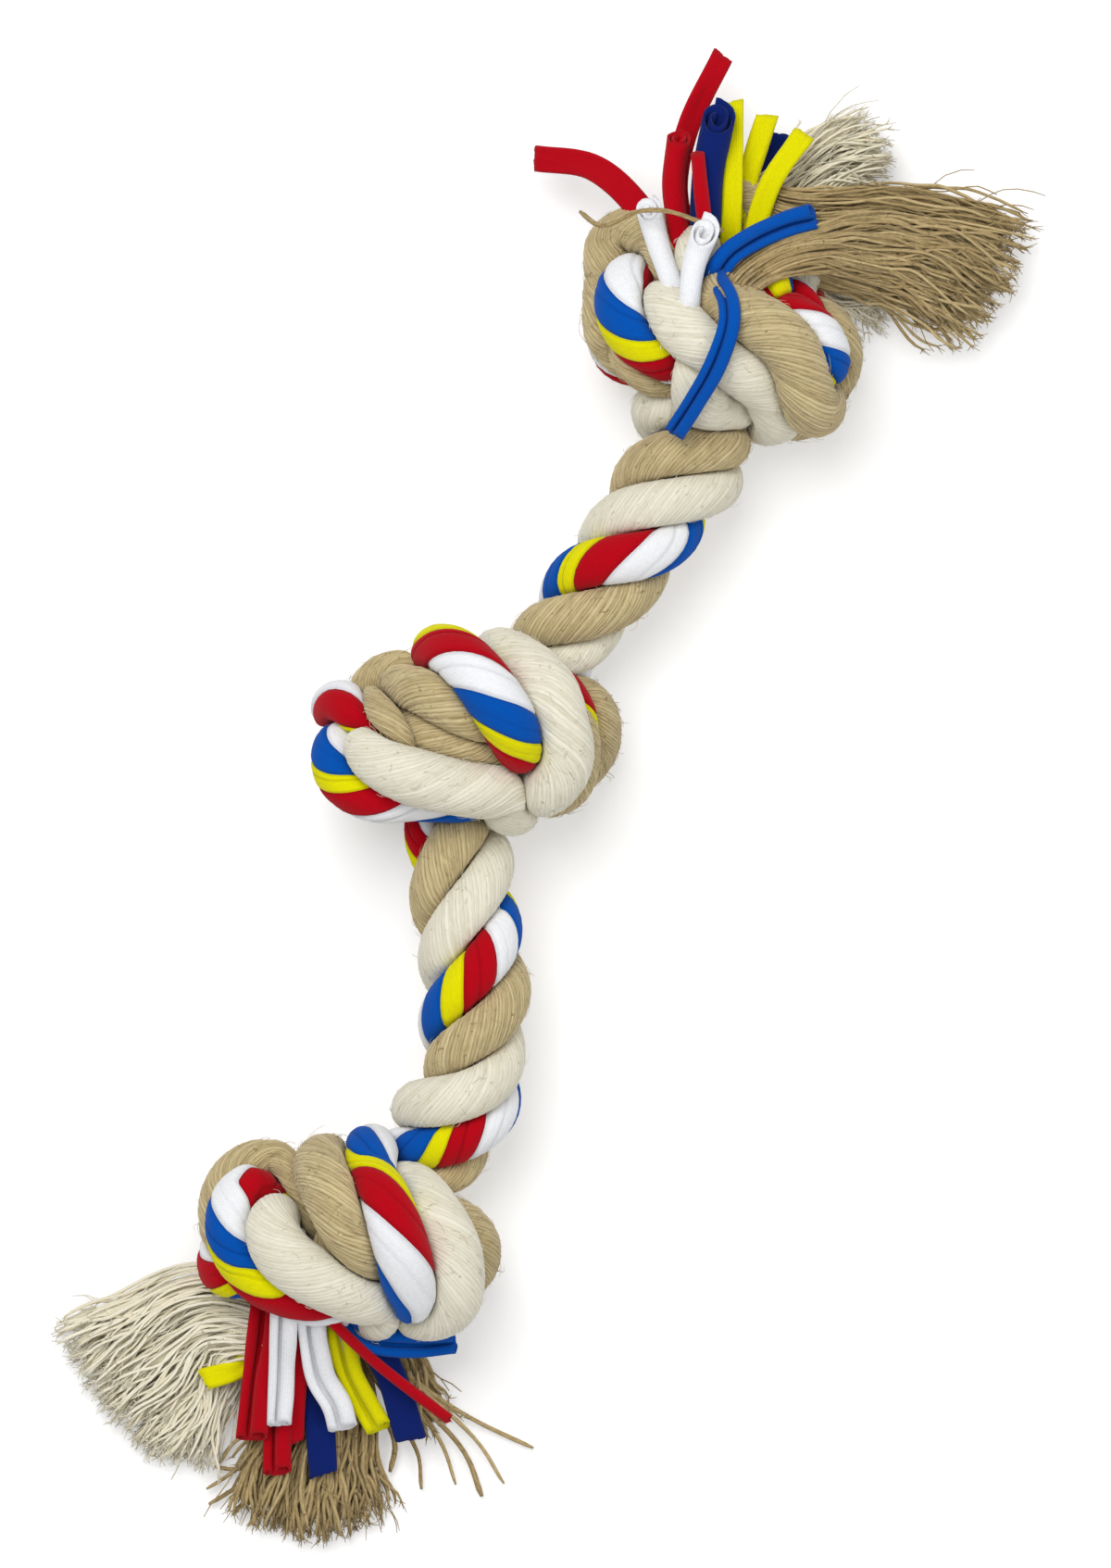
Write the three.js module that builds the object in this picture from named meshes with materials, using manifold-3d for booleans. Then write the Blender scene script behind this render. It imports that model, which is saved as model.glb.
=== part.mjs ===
// A rope tug toy for dogs: three laid strands, tied in three overhand knots, with a tassel at each end.
// One strand is jute, one is cotton and one is made of strips of jersey cloth in four colours.
// The toy lies flat: X is to the right, Y runs along it towards its upper tassel, Z is up from the floor.
import * as THREE from 'three';
import Module from 'manifold-3d';

const wasm = await Module();
wasm.setup();

// Driving dimensions in millimetres
const STRAND_DIAMETER = 18.6;
const ROPE_DIAMETER = 37.4;
const LAY_PITCH = 68;
const STRAND_GAP = 2;
const SEAT_GAP = 0.35;
const END_GAP = 0.4;
const FLOOR_SPAN = 900;
const REST_DEPTH = 1.9;
const KNOT_HALF_WIDTH = 50;
const KNOT_HALF_LENGTH = 34;
const KNOT_HALF_HEIGHT = 41;
const FLEX_LENGTH = 40;
const STRIP_THICKNESS = 5;
const TAIL_RAGGED = 5;

// How much wider than round a strand may swell to fill the space between its neighbours
const SWELL = 1.2;

// How finely the strands are sampled and faceted
const SAMPLE_STEP = 4;
const RING_STRIDE = 2;
const STRAND_SIDES = 6;
const STRIP_STEP = 12;
const STRIP_SIDES = 6;
const TAIL_STEP = 14;
const TAIL_SIDES = 10;
const CURVE_DIVISIONS = 40;

// How the strands settle against each other
const CROWDING = 0.8;
const RELAX_ROUNDS = 600;
const PAIR_ROUNDS = 10;
const PAIR_MARGIN = 6;
const RELAX_PUSH = 0.2;
const RELAX_SMOOTH = 0.15;
const RELAX_HOME = 0.002;
const LEAD_FADE = 8;
const LEAD_WINDOW = 2;
const PLACE_WINDOW = 30;
const SHOWN_PULL = 0.3;
const SHOWN_GIRTH = 1.06;
const SELF_SPAN = 32;
const GIRTH_WINDOW = 3;
const NEIGHBOUR_REACH = 2 * STRAND_DIAMETER;
const LEAST_REACH = 1.2;
const LEAST_FACING = 0.02;
const BEND_SHARE = 0.8;

// How the strands spread out side by side where the rope wraps a knot
const WRAP_INNER = 0.35;
const WRAP_OUTER = 0.75;
const WRAP_END = 1.0;
const WRAP_GONE = 1.25;
const WRAP_SPREAD = 0.55;
const WRAP_FLATTEN = 0.6;

const MATERIALS = {
  jute: new THREE.MeshStandardMaterial({ color: 0xc4ac80, roughness: 0.95, metalness: 0 }),
  cotton: new THREE.MeshStandardMaterial({ color: 0xe4dcc8, roughness: 0.95, metalness: 0 }),
  cloth: new THREE.MeshStandardMaterial({ color: 0xd8a0a4, roughness: 0.9, metalness: 0 }),
  red: new THREE.MeshStandardMaterial({ color: 0xc00a1e, roughness: 0.9, metalness: 0 }),
  white: new THREE.MeshStandardMaterial({ color: 0xf0f0f3, roughness: 0.9, metalness: 0 }),
  blue: new THREE.MeshStandardMaterial({ color: 0x0052a5, roughness: 0.9, metalness: 0 }),
  yellow: new THREE.MeshStandardMaterial({ color: 0xf5eb00, roughness: 0.9, metalness: 0 }),
};

// The strands in their order round the rope, a third of a turn apart
const STRANDS = ['jute', 'cloth', 'cotton'];

const vec = (x, y, z) => new THREE.Vector3(x, y, z);
const KNOT_HALF_SIZE = vec(KNOT_HALF_WIDTH, KNOT_HALF_LENGTH, KNOT_HALF_HEIGHT);

// The inner route of an overhand knot, about its middle: the rope comes in from above on the right,
// runs left across the front, turns under the upper pass, goes round the back and comes up as that pass.
// The last number of each place is the girth of the strands there, less where the knot pinches them.
const KNOT_CORE = [
  [28, 15.5, -9, 0.8], [28, 1.5, -10, 0.75], [26, -11.5, -4, 0.75], [18, -16.5, 9, 0.85],
  [6, -16.5, 22, 1],
  [-11, -15.5, 28, 1], [-27, -12, 25, 1], [-36, -6.5, 19, 0.95], [-33, 0, 14, 0.85], [-20, 3.5, 11, 0.7],
  [2, 4, 10, 0.6], [22, 3.5, 10, 0.6], [37, 0, 2, 0.7], [39, -2.5, -13, 0.8], [28, -4, -27, 0.9],
  [5, -3.5, -31, 0.9], [-18, -3.5, -29, 0.9], [-33, -5.5, -18, 0.8], [-36, -8, -4, 0.7],
  [-24, -10.5, 8, 0.6],
  [-4, -11.5, 10, 0.6], [14, -13, 10, 0.75], [27, -10, 20, 0.95], [26, 0, 28, 1], [14, 9, 30, 1],
  [0, 15.5, 22, 1], [-9, 18, 8, 0.9], [-14, 13, -6, 0.75], [-11, 1.5, -10, 0.7], [-7, -13, -7, 0.8],
];
const LOWER_PASS = 5;
const UPPER_PASS = 24;
const PASS_TURN = 15;
const SIDE_TURN = 13;

// Each knot: where its middle lies, how far it is turned about the vertical, and the turn in degrees
// of the jute strand about the rope at its two passes and, where it shows, at its right-hand side
const KNOTS = [
  { name: 'upper', middle: vec(93, 148, KNOT_HALF_HEIGHT), lower: 190, upper: 0, turn: -18 },
  { name: 'middle', middle: vec(0, 4, KNOT_HALF_HEIGHT), lower: 120, upper: 240, turn: 0, side: 0 },
  { name: 'lower', middle: vec(-43, -177, KNOT_HALF_HEIGHT), lower: 190, upper: 240, turn: -14 },
];

// The free stretches of the rope, before, between and after the knots
const STRETCHES = [
  [[88, 186, 34, 1], [104, 182, 34, 0.9]],
  [[92, 112, 40, 1], [81, 97, 42, 1], [63, 73, 42, 1], [47, 52, 42, 1], [40, 40, 39, 1]],
  [[-4, -33, 39, 1], [0, -53, 42, 1], [5.5, -83, 42, 1], [5, -110, 42, 1], [-1, -133, 42, 1],
    [-5, -146, 39, 1]],
  [[-50, -204, 30, 0.9], [-52, -212, 24, 1]],
];

// Places along the free stretches where the jute strand lies uppermost
const JUTE_ON_TOP = [vec(90, 107, 37), vec(45, 53, 37), vec(-3, -47, 37), vec(3, -110, 37)];

// Places that the strands are led through where they show: the knot, the pass of its route, the strand
const SHOWN = [
  ['upper', UPPER_PASS, 'cotton', [
    [116.5, 126.5, 40], [112.5, 134, 47], [102.5, 142.5, 51], [91.5, 149.5, 48],
  ]],
  ['upper', LOWER_PASS, 'cotton', [
    [115, 129.5, 54], [100, 134.5, 66], [86, 142, 72], [76.5, 150.5, 70], [72, 157.5, 58],
  ]],
  ['upper', LOWER_PASS, 'cloth', [
    [88.5, 135.5, 54], [74, 139.5, 58], [64, 147.5, 60], [60, 156.5, 58], [63.5, 166, 48],
  ]],
  ['upper', LOWER_PASS, 'jute', [
    [115, 126, 28], [100, 128.5, 30], [81.5, 134, 36], [67.5, 138.5, 41], [58.5, 146.5, 42],
    [55.5, 156.5, 42], [58.5, 166.5, 42],
  ]],
  ['upper', UPPER_PASS, 'jute', [
    [123.5, 124, 56], [121.5, 134, 68], [114, 144, 76], [101.5, 151.5, 74], [90, 155.5, 62],
  ]],
  ['upper', UPPER_PASS, 'cloth', [
    [120.5, 124, 46], [126.5, 130, 56], [128, 138, 61], [122, 145.5, 61], [111.5, 150, 54],
  ]],
  ['middle', LOWER_PASS, 'jute', [[16, -5, 50], [0, -2, 59], [-13.5, 0.5, 61], [-25, 2.5, 54]]],
  ['middle', LOWER_PASS, 'cotton', [
    [17.5, -14, 56], [0, -16, 66], [-16.5, -12.5, 70], [-30.5, -5.5, 66], [-35.5, 1, 54],
  ]],
  ['middle', LOWER_PASS, 'cloth', [
    [-16.5, -20.5, 52], [-31.5, -19, 55], [-40, -10.5, 54], [-40.5, -2.5, 51], [-35.5, 2.5, 42],
  ]],
  ['middle', UPPER_PASS, 'jute', [[13.5, 2.5, 60], [-1, 11.5, 68], [-14, 18, 66], [-22.5, 17.5, 54]]],
  ['middle', UPPER_PASS, 'cloth', [
    [25, -6, 54], [19.5, 1.5, 69], [11.5, 13.5, 77], [4, 24, 75], [-3.5, 30.5, 66], [-8.5, 31.5, 54],
  ]],
  ['middle', UPPER_PASS, 'cotton', [
    [16.5, -12, 46], [26.5, -12, 58], [34.5, -4, 65], [34.5, 6.5, 67], [30, 17.5, 65], [21.5, 27.5, 59],
    [13.5, 32.5, 48],
  ]],
  ['lower', LOWER_PASS, 'cotton', [
    [-26.5, -196, 54], [-40, -196.5, 64], [-53.5, -191.5, 70], [-64.5, -183.5, 70], [-69.5, -174, 64],
    [-67.5, -166.5, 52],
  ]],
  ['lower', LOWER_PASS, 'cloth', [
    [-50, -197.5, 50], [-63.5, -196, 55], [-73.5, -191, 57], [-79.5, -181.5, 57], [-80.5, -170.5, 56],
    [-76, -161.5, 49],
  ]],
  ['lower', LOWER_PASS, 'jute', [
    [-66.5, -191.5, 36], [-78.5, -183.5, 39], [-82.5, -173.5, 40], [-81.5, -162.5, 40],
    [-75.5, -154.5, 41], [-66, -151.5, 42],
  ]],
  ['lower', UPPER_PASS, 'jute', [
    [-30.5, -191.5, 54], [-35.5, -181.5, 67], [-42.5, -168.5, 74], [-48.5, -158.5, 68],
    [-51.5, -152.5, 54],
  ]],
  ['lower', UPPER_PASS, 'cloth', [
    [-16.5, -200.5, 54], [-20, -191.5, 68], [-23.5, -178.5, 76], [-29.5, -165, 74], [-34.5, -156.5, 60],
  ]],
  ['lower', UPPER_PASS, 'cotton', [
    [-20, -203.5, 44], [-8.5, -201.5, 55], [-2.5, -192.5, 61], [-4.5, -180, 63], [-11.5, -168.5, 61],
    [-17.5, -162, 50],
  ]],
];

// The middles of the two stretches, where the rope bends most freely, and the lengths that it divides into
const BENDS = [vec(63, 73, 42), vec(5.5, -97, 42)];
const SECTIONS = ['upper', 'upper_bend', 'middle', 'lower_bend', 'lower'];

// Cloth strips of the tassels: colour, width and the route from the knot to the cut end
const UPPER_STRIPS = [
  ['red_long', 'red', 8.6, [[82, 172, 44], [77, 200, 40], [82, 223, 33], [94, 248, 24]]],
  ['red_left', 'red', 9.6, [[74, 172, 50], [64, 191, 46], [47, 207, 34], [26, 211, 22]]],
  ['red_rolled', 'red', 8, [[78, 174, 57], [75, 200, 54], [77, 217, 46]]],
  ['red_narrow', 'red', 6, [[87, 180, 66], [85, 198, 64], [84, 211, 58]]],
  ['navy_rolled', 'blue', 11, [[86, 178, 54], [87, 203, 52], [91, 224, 44]]],
  ['navy_rear', 'blue', 8.4, [[102, 182, 24], [110, 206, 19], [116, 220, 14]]],
  ['blue_right', 'blue', 10, [[93, 166, 68], [97, 172, 70], [106, 178, 65], [117, 183, 58],
    [127, 186, 51]]],
  ['blue_hanging', 'blue', 8.6, [[90, 163, 71], [93, 156, 83], [93, 148, 87], [88, 134, 84], [80, 120, 75],
    [74, 111, 67]]],
  ['yellow_left', 'yellow', 8, [[96, 180, 52], [97, 206, 48], [97, 230, 40]]],
  ['yellow_middle', 'yellow', 8, [[98, 182, 42], [103, 204, 38], [110, 226, 30]]],
  ['yellow_right', 'yellow', 8, [[104, 181, 48], [111, 201, 44], [123, 219, 36]]],
  ['white_curl', 'white', 8.6, [[75, 162, 69], [70, 176, 64], [66, 191, 53]]],
  ['white_rolled', 'white', 9.6, [[80.5, 157, 77], [82, 170, 75], [86, 182, 69]]],
];
const LOWER_STRIPS = [
  ['red_wide', 'red', 11, [[-74, -204, 40], [-77, -227, 30], [-80, -252, 22]]],
  ['red_middle', 'red', 8.6, [[-69, -206, 34], [-70, -233, 25], [-71, -261, 18]]],
  ['red_rear', 'red', 8, [[-60, -206, 34], [-60, -233, 25], [-62, -254, 19]]],
  ['red_narrow', 'red', 4.8, [[-48, -207, 54], [-32, -223, 42], [-5, -245, 26]]],
  ['white_left', 'white', 8.4, [[-67, -203, 50], [-68, -227, 38], [-69, -247, 29]]],
  ['white_right', 'white', 9.6, [[-57, -203, 50], [-53, -227, 38], [-48, -248, 28]]],
  ['yellow_tab', 'yellow', 8, [[-79, -209, 36], [-83, -220, 32], [-87, -233, 27]]],
  ['yellow_right', 'yellow', 8.6, [[-46, -211, 40], [-41, -230, 29], [-35, -248, 21]]],
  ['navy', 'blue', 11, [[-52, -214, 28], [-52, -243, 21], [-51, -266, 17]]],
  ['blue_middle', 'blue', 9.6, [[-36, -210, 38], [-26, -230, 26], [-20, -251, 18]]],
  ['blue_right', 'blue', 11.6, [[-40, -204, 58], [-26, -211, 50], [-5, -217, 38]]],
];

// Frayed tails: the route past the strand's end, then half the width and half the thickness along the tail
const TAILS = [
  {
    name: 'upper_jute_tail', strand: 'jute', atStart: true,
    route: [[120, 184, 34], [155, 180, 26], [182, 172, 20], [201, 163, 15]],
    width: [9, 15, 21, 27, 31], thick: [9, 12, 14, 13, 10],
  },
  {
    name: 'upper_cotton_tail', strand: 'cotton', atStart: true,
    route: [[118, 198, 18], [137, 211, 14], [157, 213, 11]],
    width: [9, 12, 15, 16], thick: [9, 10, 10, 8],
  },
  {
    name: 'lower_jute_tail', strand: 'jute', atStart: false,
    route: [[-50, -235, 11], [-54, -262, 8], [-56, -286, 7]],
    width: [9, 18, 27, 32], thick: [9, 9, 8, 6],
  },
  {
    name: 'lower_cotton_tail', strand: 'cotton', atStart: false,
    route: [[-92, -210, 17], [-115, -228, 11], [-134, -243, 9]],
    width: [9, 17, 27, 34], thick: [9, 10, 9, 7],
  },
];

// Points spaced evenly along a smooth curve through the given places
function evenPoints(places, step) {
  const curve = new THREE.CatmullRomCurve3(places, false, 'centripetal');
  curve.arcLengthDivisions = places.length * CURVE_DIVISIONS;
  const count = Math.max(2, Math.round(curve.getLength() / step));
  return curve.getSpacedPoints(count);
}

// Unit directions along a run of points
function tangentsOf(points) {
  return points.map((point, index) => {
    const before = points[Math.max(index - 1, 0)];
    const after = points[Math.min(index + 1, points.length - 1)];
    return after.clone().sub(before).normalize();
  });
}

// Cross directions that follow the run of points without turning about it
function framesOf(points, firstNormal) {
  const tangents = tangentsOf(points);
  const normal = firstNormal.clone();
  return tangents.map((tangent) => {
    normal.addScaledVector(tangent, -normal.dot(tangent)).normalize();
    return { tangent, normal: normal.clone(), binormal: tangent.clone().cross(normal) };
  });
}

// The route of the whole rope with its girth, and the places where the turn of its strands is known
function ropeRoute() {
  const places = [];
  const turns = JUTE_ON_TOP.map((place) => ({ place, jute: 0 }));
  STRETCHES.forEach((stretch, index) => {
    stretch.forEach(([x, y, z, girth]) => places.push({ place: vec(x, y, z), girth }));
    const knot = KNOTS[index];
    if (!knot) return;
    const axis = vec(0, 0, 1);
    const turned = THREE.MathUtils.degToRad(knot.turn);
    const core = KNOT_CORE.map(([x, y, z, girth]) => ({
      place: vec(x, y, z).applyAxisAngle(axis, turned).add(knot.middle), girth,
    }));
    if (knot.side !== undefined) {
      const way = vec(1, 0, 0).applyAxisAngle(axis, turned);
      turns.push({ place: core[SIDE_TURN].place, jute: knot.side, way });
    }
    [-1, 1].forEach((end) => {
      turns.push({ place: core[LOWER_PASS + end].place, jute: knot.lower + end * PASS_TURN });
      turns.push({ place: core[UPPER_PASS + end].place, jute: knot.upper + end * PASS_TURN });
    });
    core.forEach((entry, order) => Object.assign(entry, { knot: knot.name, order }));
    places.push(...core);
  });
  const points = evenPoints(places.map(({ place }) => place), SAMPLE_STEP);
  const nearest = points.map((point) => places.reduce((best, other) => {
    const distance = point.distanceTo(other.place);
    return distance < best.distance ? { distance, girth: other.girth } : best;
  }, { distance: Infinity, girth: 1 }).girth);
  const girths = nearest.map((girth, index) => {
    const near = nearest.slice(Math.max(index - GIRTH_WINDOW, 0), index + GIRTH_WINDOW + 1);
    return near.reduce((sum, value) => sum + value, 0) / near.length;
  });
  let at = 0;
  places.forEach((entry) => {
    const distances = points.slice(at, at + PLACE_WINDOW).map((point) => point.distanceTo(entry.place));
    at += distances.indexOf(Math.min(...distances));
    entry.index = at;
  });
  return { points, girths, turns, places };
}

// The angle of the jute strand about the rope at every point, in the rope's own frames
function strandTurns(points, frames, turns) {
  const up = vec(0, 0, 1);
  const known = turns.map(({ place, jute, way = up }) => {
    const distances = points.map((point) => point.distanceToSquared(place));
    const index = distances.indexOf(Math.min(...distances));
    const { normal, binormal } = frames[index];
    const upAngle = Math.atan2(way.dot(binormal), way.dot(normal));
    return { index, angle: upAngle + THREE.MathUtils.degToRad(jute) };
  }).sort((first, second) => first.index - second.index);
  const perPoint = 2 * Math.PI * SAMPLE_STEP / LAY_PITCH;
  for (let k = 1; k < known.length; k += 1) {
    const expected = known[k - 1].angle + perPoint * (known[k].index - known[k - 1].index);
    known[k].angle += 2 * Math.PI * Math.round((expected - known[k].angle) / (2 * Math.PI));
  }
  return points.map((point, index) => {
    const next = known.findIndex((turn) => turn.index >= index);
    if (next === 0) return known[0].angle + perPoint * (index - known[0].index);
    if (next < 0) return known.at(-1).angle + perPoint * (index - known.at(-1).index);
    const share = (index - known[next - 1].index) / (known[next].index - known[next - 1].index);
    return THREE.MathUtils.lerp(known[next - 1].angle, known[next].angle, share);
  });
}

// How far a place lies out from the middle of its knot, and the way out there
function knotSurface(place) {
  let best = { reach: Infinity, way: vec(0, 0, 1) };
  KNOTS.forEach(({ middle }) => {
    const offset = place.clone().sub(middle);
    const scaled = offset.clone().divide(KNOT_HALF_SIZE);
    const reach = scaled.length();
    if (reach < best.reach) {
      best = { reach, way: scaled.divide(KNOT_HALF_SIZE).normalize() };
    }
  });
  return best;
}

// Middle lines of the three strands: laid round the rope, and spread side by side where they wrap a knot
function strandLines({ points, turns }) {
  const frames = framesOf(points, vec(0, 0, 1));
  const angles = strandTurns(points, frames, turns);
  const layRadius = (ROPE_DIAMETER - STRAND_DIAMETER) / 2;
  return STRANDS.map((name, order) => points.map((point, index) => {
    const { normal, binormal } = frames[index];
    const angle = angles[index] + order * 2 * Math.PI / STRANDS.length;
    const offset = normal.clone().multiplyScalar(Math.cos(angle))
      .addScaledVector(binormal, Math.sin(angle));
    const { reach, way } = knotSurface(point);
    const wrap = THREE.MathUtils.smoothstep(reach, WRAP_INNER, WRAP_OUTER)
      * (1 - THREE.MathUtils.smoothstep(reach, WRAP_END, WRAP_GONE));
    const outward = offset.dot(way);
    const spread = offset.clone().addScaledVector(way, -outward).multiplyScalar(1 + WRAP_SPREAD * wrap);
    spread.addScaledVector(way, outward * (1 - WRAP_FLATTEN * wrap));
    return point.clone().addScaledVector(spread, layRadius);
  }));
}

// Lead the strands through the places where they show, and say how firmly each point is held there
function leadShown(lines, places) {
  const pulls = lines.map((line) => line.map(() => 0));
  SHOWN.forEach(([knot, near, strand, shown]) => {
    const order = STRANDS.indexOf(strand);
    const line = lines[order];
    const [from, to] = [near - LEAD_WINDOW, near + LEAD_WINDOW].map((number) => (
      places.find((entry) => entry.knot === knot && entry.order === Math.max(number, 0)).index));
    const curve = new THREE.CatmullRomCurve3(shown.map((place) => vec(...place)), false, 'centripetal');
    const heart = curve.getPointAt(0.5);
    const distances = line.slice(from, to).map((place) => place.distanceTo(heart));
    const centre = from + distances.indexOf(Math.min(...distances));
    const spacing = line.slice(from, to).reduce((sum, place, k) => (
      sum + place.distanceTo(line[from + k + 1])), 0) / (to - from);
    const half = Math.round(curve.getLength() / spacing / 2);
    const first = centre - half;
    const last = centre + half;
    const moves = [];
    for (let k = first; k <= last; k += 1) {
      moves.push(curve.getPointAt((k - first) / (last - first)).sub(line[k]));
    }
    for (let k = first - LEAD_FADE; k <= last + LEAD_FADE; k += 1) {
      const inside = Math.min(Math.max(k, first), last);
      const share = 1 - THREE.MathUtils.smoothstep(Math.abs(k - inside), 0, LEAD_FADE);
      line[k].addScaledVector(moves[inside - first], share);
      pulls[order][k] = Math.max(pulls[order][k], share);
    }
  });
  return pulls;
}

// The girth of a strand where it is free or led
function ledGirth(girth, pull) {
  return THREE.MathUtils.lerp(girth, SHOWN_GIRTH, pull) * STRAND_DIAMETER / 2;
}

// Pairs of strand points near enough to each other to touch in the next few rounds
function closePairs(all) {
  const apart = Math.ceil(SELF_SPAN / SAMPLE_STEP);
  const pairs = [];
  for (let a = 0; a < all.length; a += 1) {
    const first = all[a];
    for (let b = a + 1; b < all.length; b += 1) {
      const second = all[b];
      const limit = first.reach + second.reach + PAIR_MARGIN;
      if (Math.abs(first.place.x - second.place.x) > limit) continue;
      if (Math.abs(first.place.y - second.place.y) > limit) continue;
      if (first.strand === second.strand && second.index - first.index < apart) continue;
      if (first.place.distanceTo(second.place) < limit) pairs.push([a, b, first.reach + second.reach]);
    }
  }
  return pairs;
}

// Push the strands apart where they would run into each other or into the floor, keeping them smooth
function relax(lines, girths, pulls) {
  const all = lines.flatMap((line, strand) => line.map((place, index) => ({
    place, strand, index, home: place.clone(), pull: pulls[strand][index],
    reach: CROWDING * ledGirth(girths[index], pulls[strand][index]),
  })));
  const lowest = STRAND_DIAMETER / 2 - REST_DEPTH;
  let pairs = [];
  for (let round = 0; round < RELAX_ROUNDS; round += 1) {
    if (round % PAIR_ROUNDS === 0) pairs = closePairs(all);
    const moves = all.map(({ place, home, pull }) => (
      home.clone().sub(place).multiplyScalar(THREE.MathUtils.lerp(RELAX_HOME, SHOWN_PULL, pull))));
    pairs.forEach(([a, b, reach]) => {
      const gap = all[b].place.clone().sub(all[a].place);
      const distance = gap.length();
      if (distance >= reach) return;
      gap.multiplyScalar(RELAX_PUSH * (reach - distance) / distance);
      moves[a].sub(gap);
      moves[b].add(gap);
    });
    all.forEach(({ place }, index) => {
      place.add(moves[index]);
      place.z = Math.max(place.z, lowest);
    });
    lines.forEach((line) => {
      const before = line.map((place) => place.clone());
      for (let k = 1; k < line.length - 1; k += 1) {
        const middle = before[k - 1].clone().add(before[k + 1]).multiplyScalar(0.5);
        line[k].lerp(middle, RELAX_SMOOTH);
      }
    });
  }
  return lines;
}

// How sharply a run of points bends at one of them, pointing to the inside of the bend
function bendAt(line, k, stride) {
  const before = line[Math.max(k - stride, 0)];
  const after = line[Math.min(k + stride, line.length - 1)];
  const span = before.distanceTo(after) / 2;
  return before.clone().add(after).addScaledVector(line[k], -2).divideScalar(span * span);
}

// The reach of a section in one direction, cut back at the plane between it and each neighbour
function clippedReach(centre, way, reach, radius, bend, neighbours) {
  const inward = way.dot(bend);
  let limit = inward > 0 ? Math.min(reach, BEND_SHARE / inward) : reach;
  neighbours.forEach(({ place, radius: other }) => {
    const gap = place.clone().sub(centre);
    const distance = gap.length();
    const facing = way.dot(gap) / distance;
    if (facing <= LEAST_FACING) return;
    const plane = (distance * distance + radius * radius - other * other) / (2 * distance) - STRAND_GAP / 2;
    limit = Math.min(limit, plane / facing);
  });
  return Math.max(limit, LEAST_REACH);
}

// Rings of a strand between two of its points, cut back by what lies round it
function strandRings(strand, first, last, cloud) {
  const line = strand.line;
  const picks = [];
  for (let k = first; k < last; k += RING_STRIDE) picks.push(k);
  picks.push(last);
  const apart = SELF_SPAN / SAMPLE_STEP;
  return picks.map((k) => {
    const { tangent, normal, binormal } = strand.frames[k];
    const centre = line[k].clone();
    if (k === first) centre.addScaledVector(tangent, END_GAP / 2);
    if (k === last) centre.addScaledVector(tangent, -END_GAP / 2);
    const bend = bendAt(line, k, RING_STRIDE);
    const neighbours = cloud.filter((other) => other.place.distanceTo(centre) < NEIGHBOUR_REACH
      && (other.strand !== strand.name || Math.abs(other.index - k) > apart));
    return ringAround(centre, normal, binormal, STRAND_SIDES, (way) => clippedReach(centre, way,
      SWELL * strand.radii[k], strand.radii[k], bend, neighbours));
  });
}

// One ring: the middle, and the ways and reaches out of it
function ringAround(centre, normal, binormal, sides, reachOf) {
  const spokes = [];
  for (let s = 0; s < sides; s += 1) {
    const angle = 2 * Math.PI * s / sides;
    const way = normal.clone().multiplyScalar(Math.cos(angle)).addScaledVector(binormal, Math.sin(angle));
    spokes.push({ way, reach: reachOf(way, angle) });
  }
  return { centre, spokes };
}

// Rings of a flat strip or a tail: an oval that lies level, its half sizes varying along the run
function ovalRings(line, halfWidth, halfThick, sides) {
  const tangents = tangentsOf(line);
  return line.map((centre, k) => {
    const along = k / (line.length - 1);
    const wide = tangents[k].clone().cross(vec(0, 0, 1)).normalize();
    const thick = tangents[k].clone().cross(wide);
    return ringAround(centre, wide, thick, sides, (way, angle) => 1 / Math.hypot(
      Math.cos(angle) / halfWidth(along), Math.sin(angle) / halfThick(along)));
  });
}

// The corners of a run of rings, let out by a margin
function ringRows(rings, margin) {
  return rings.map(({ centre, spokes }) => spokes.map(({ way, reach }) => (
    centre.clone().addScaledVector(way, reach + margin))));
}

// The solid of a strand: the hulls from ring to ring joined, so that it stays sound in tight bends
function strandSolid(rings, margin) {
  const rows = ringRows(rings, margin);
  return wasm.Manifold.union(rows.slice(1).map((row, k) => (
    wasm.Manifold.hull([...rows[k], ...row].map((place) => place.toArray())))));
}

// The solid of a strip or tail from its run of rings, with a fan of facets over each end
function looseSolid(rings, margin) {
  const rows = ringRows(rings, margin);
  const sides = rows[0].length;
  const points = rows.flat();
  const faces = [];
  for (let r = 0; r + 1 < rows.length; r += 1) {
    for (let s = 0; s < sides; s += 1) {
      const a = r * sides + s;
      const b = r * sides + (s + 1) % sides;
      faces.push(a, b, b + sides, a, b + sides, a + sides);
    }
  }
  [0, rows.length - 1].forEach((r) => {
    const hub = points.push(rings[r].centre.clone()) - 1;
    for (let s = 0; s < sides; s += 1) {
      const a = r * sides + s;
      const b = r * sides + (s + 1) % sides;
      faces.push(...(r === 0 ? [hub, b, a] : [hub, a, b]));
    }
  });
  return new wasm.Manifold(new wasm.Mesh({
    numProp: 3,
    vertProperties: new Float32Array(points.flatMap((place) => place.toArray())),
    triVerts: new Uint32Array(faces),
  }));
}

// A smooth value between a few given ones
function between(values) {
  return (along) => {
    const at = along * (values.length - 1);
    const first = Math.min(Math.floor(at), values.length - 2);
    return THREE.MathUtils.lerp(values[first], values[first + 1], at - first);
  };
}

// The strands, settled against each other
const rope = ropeRoute();
const lines = strandLines(rope);
const pulls = leadShown(lines, rope.places);
relax(lines, rope.girths, pulls);
const strands = STRANDS.map((name, order) => ({
  name,
  line: lines[order],
  radii: rope.girths.map((girth, k) => ledGirth(girth, pulls[order][k])),
  frames: framesOf(lines[order], vec(0, 0, 1)),
}));
const cloud = strands.flatMap(({ name, line, radii }) => line.map((place, index) => ({
  place, radius: radii[index], strand: name, index,
})));

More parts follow.
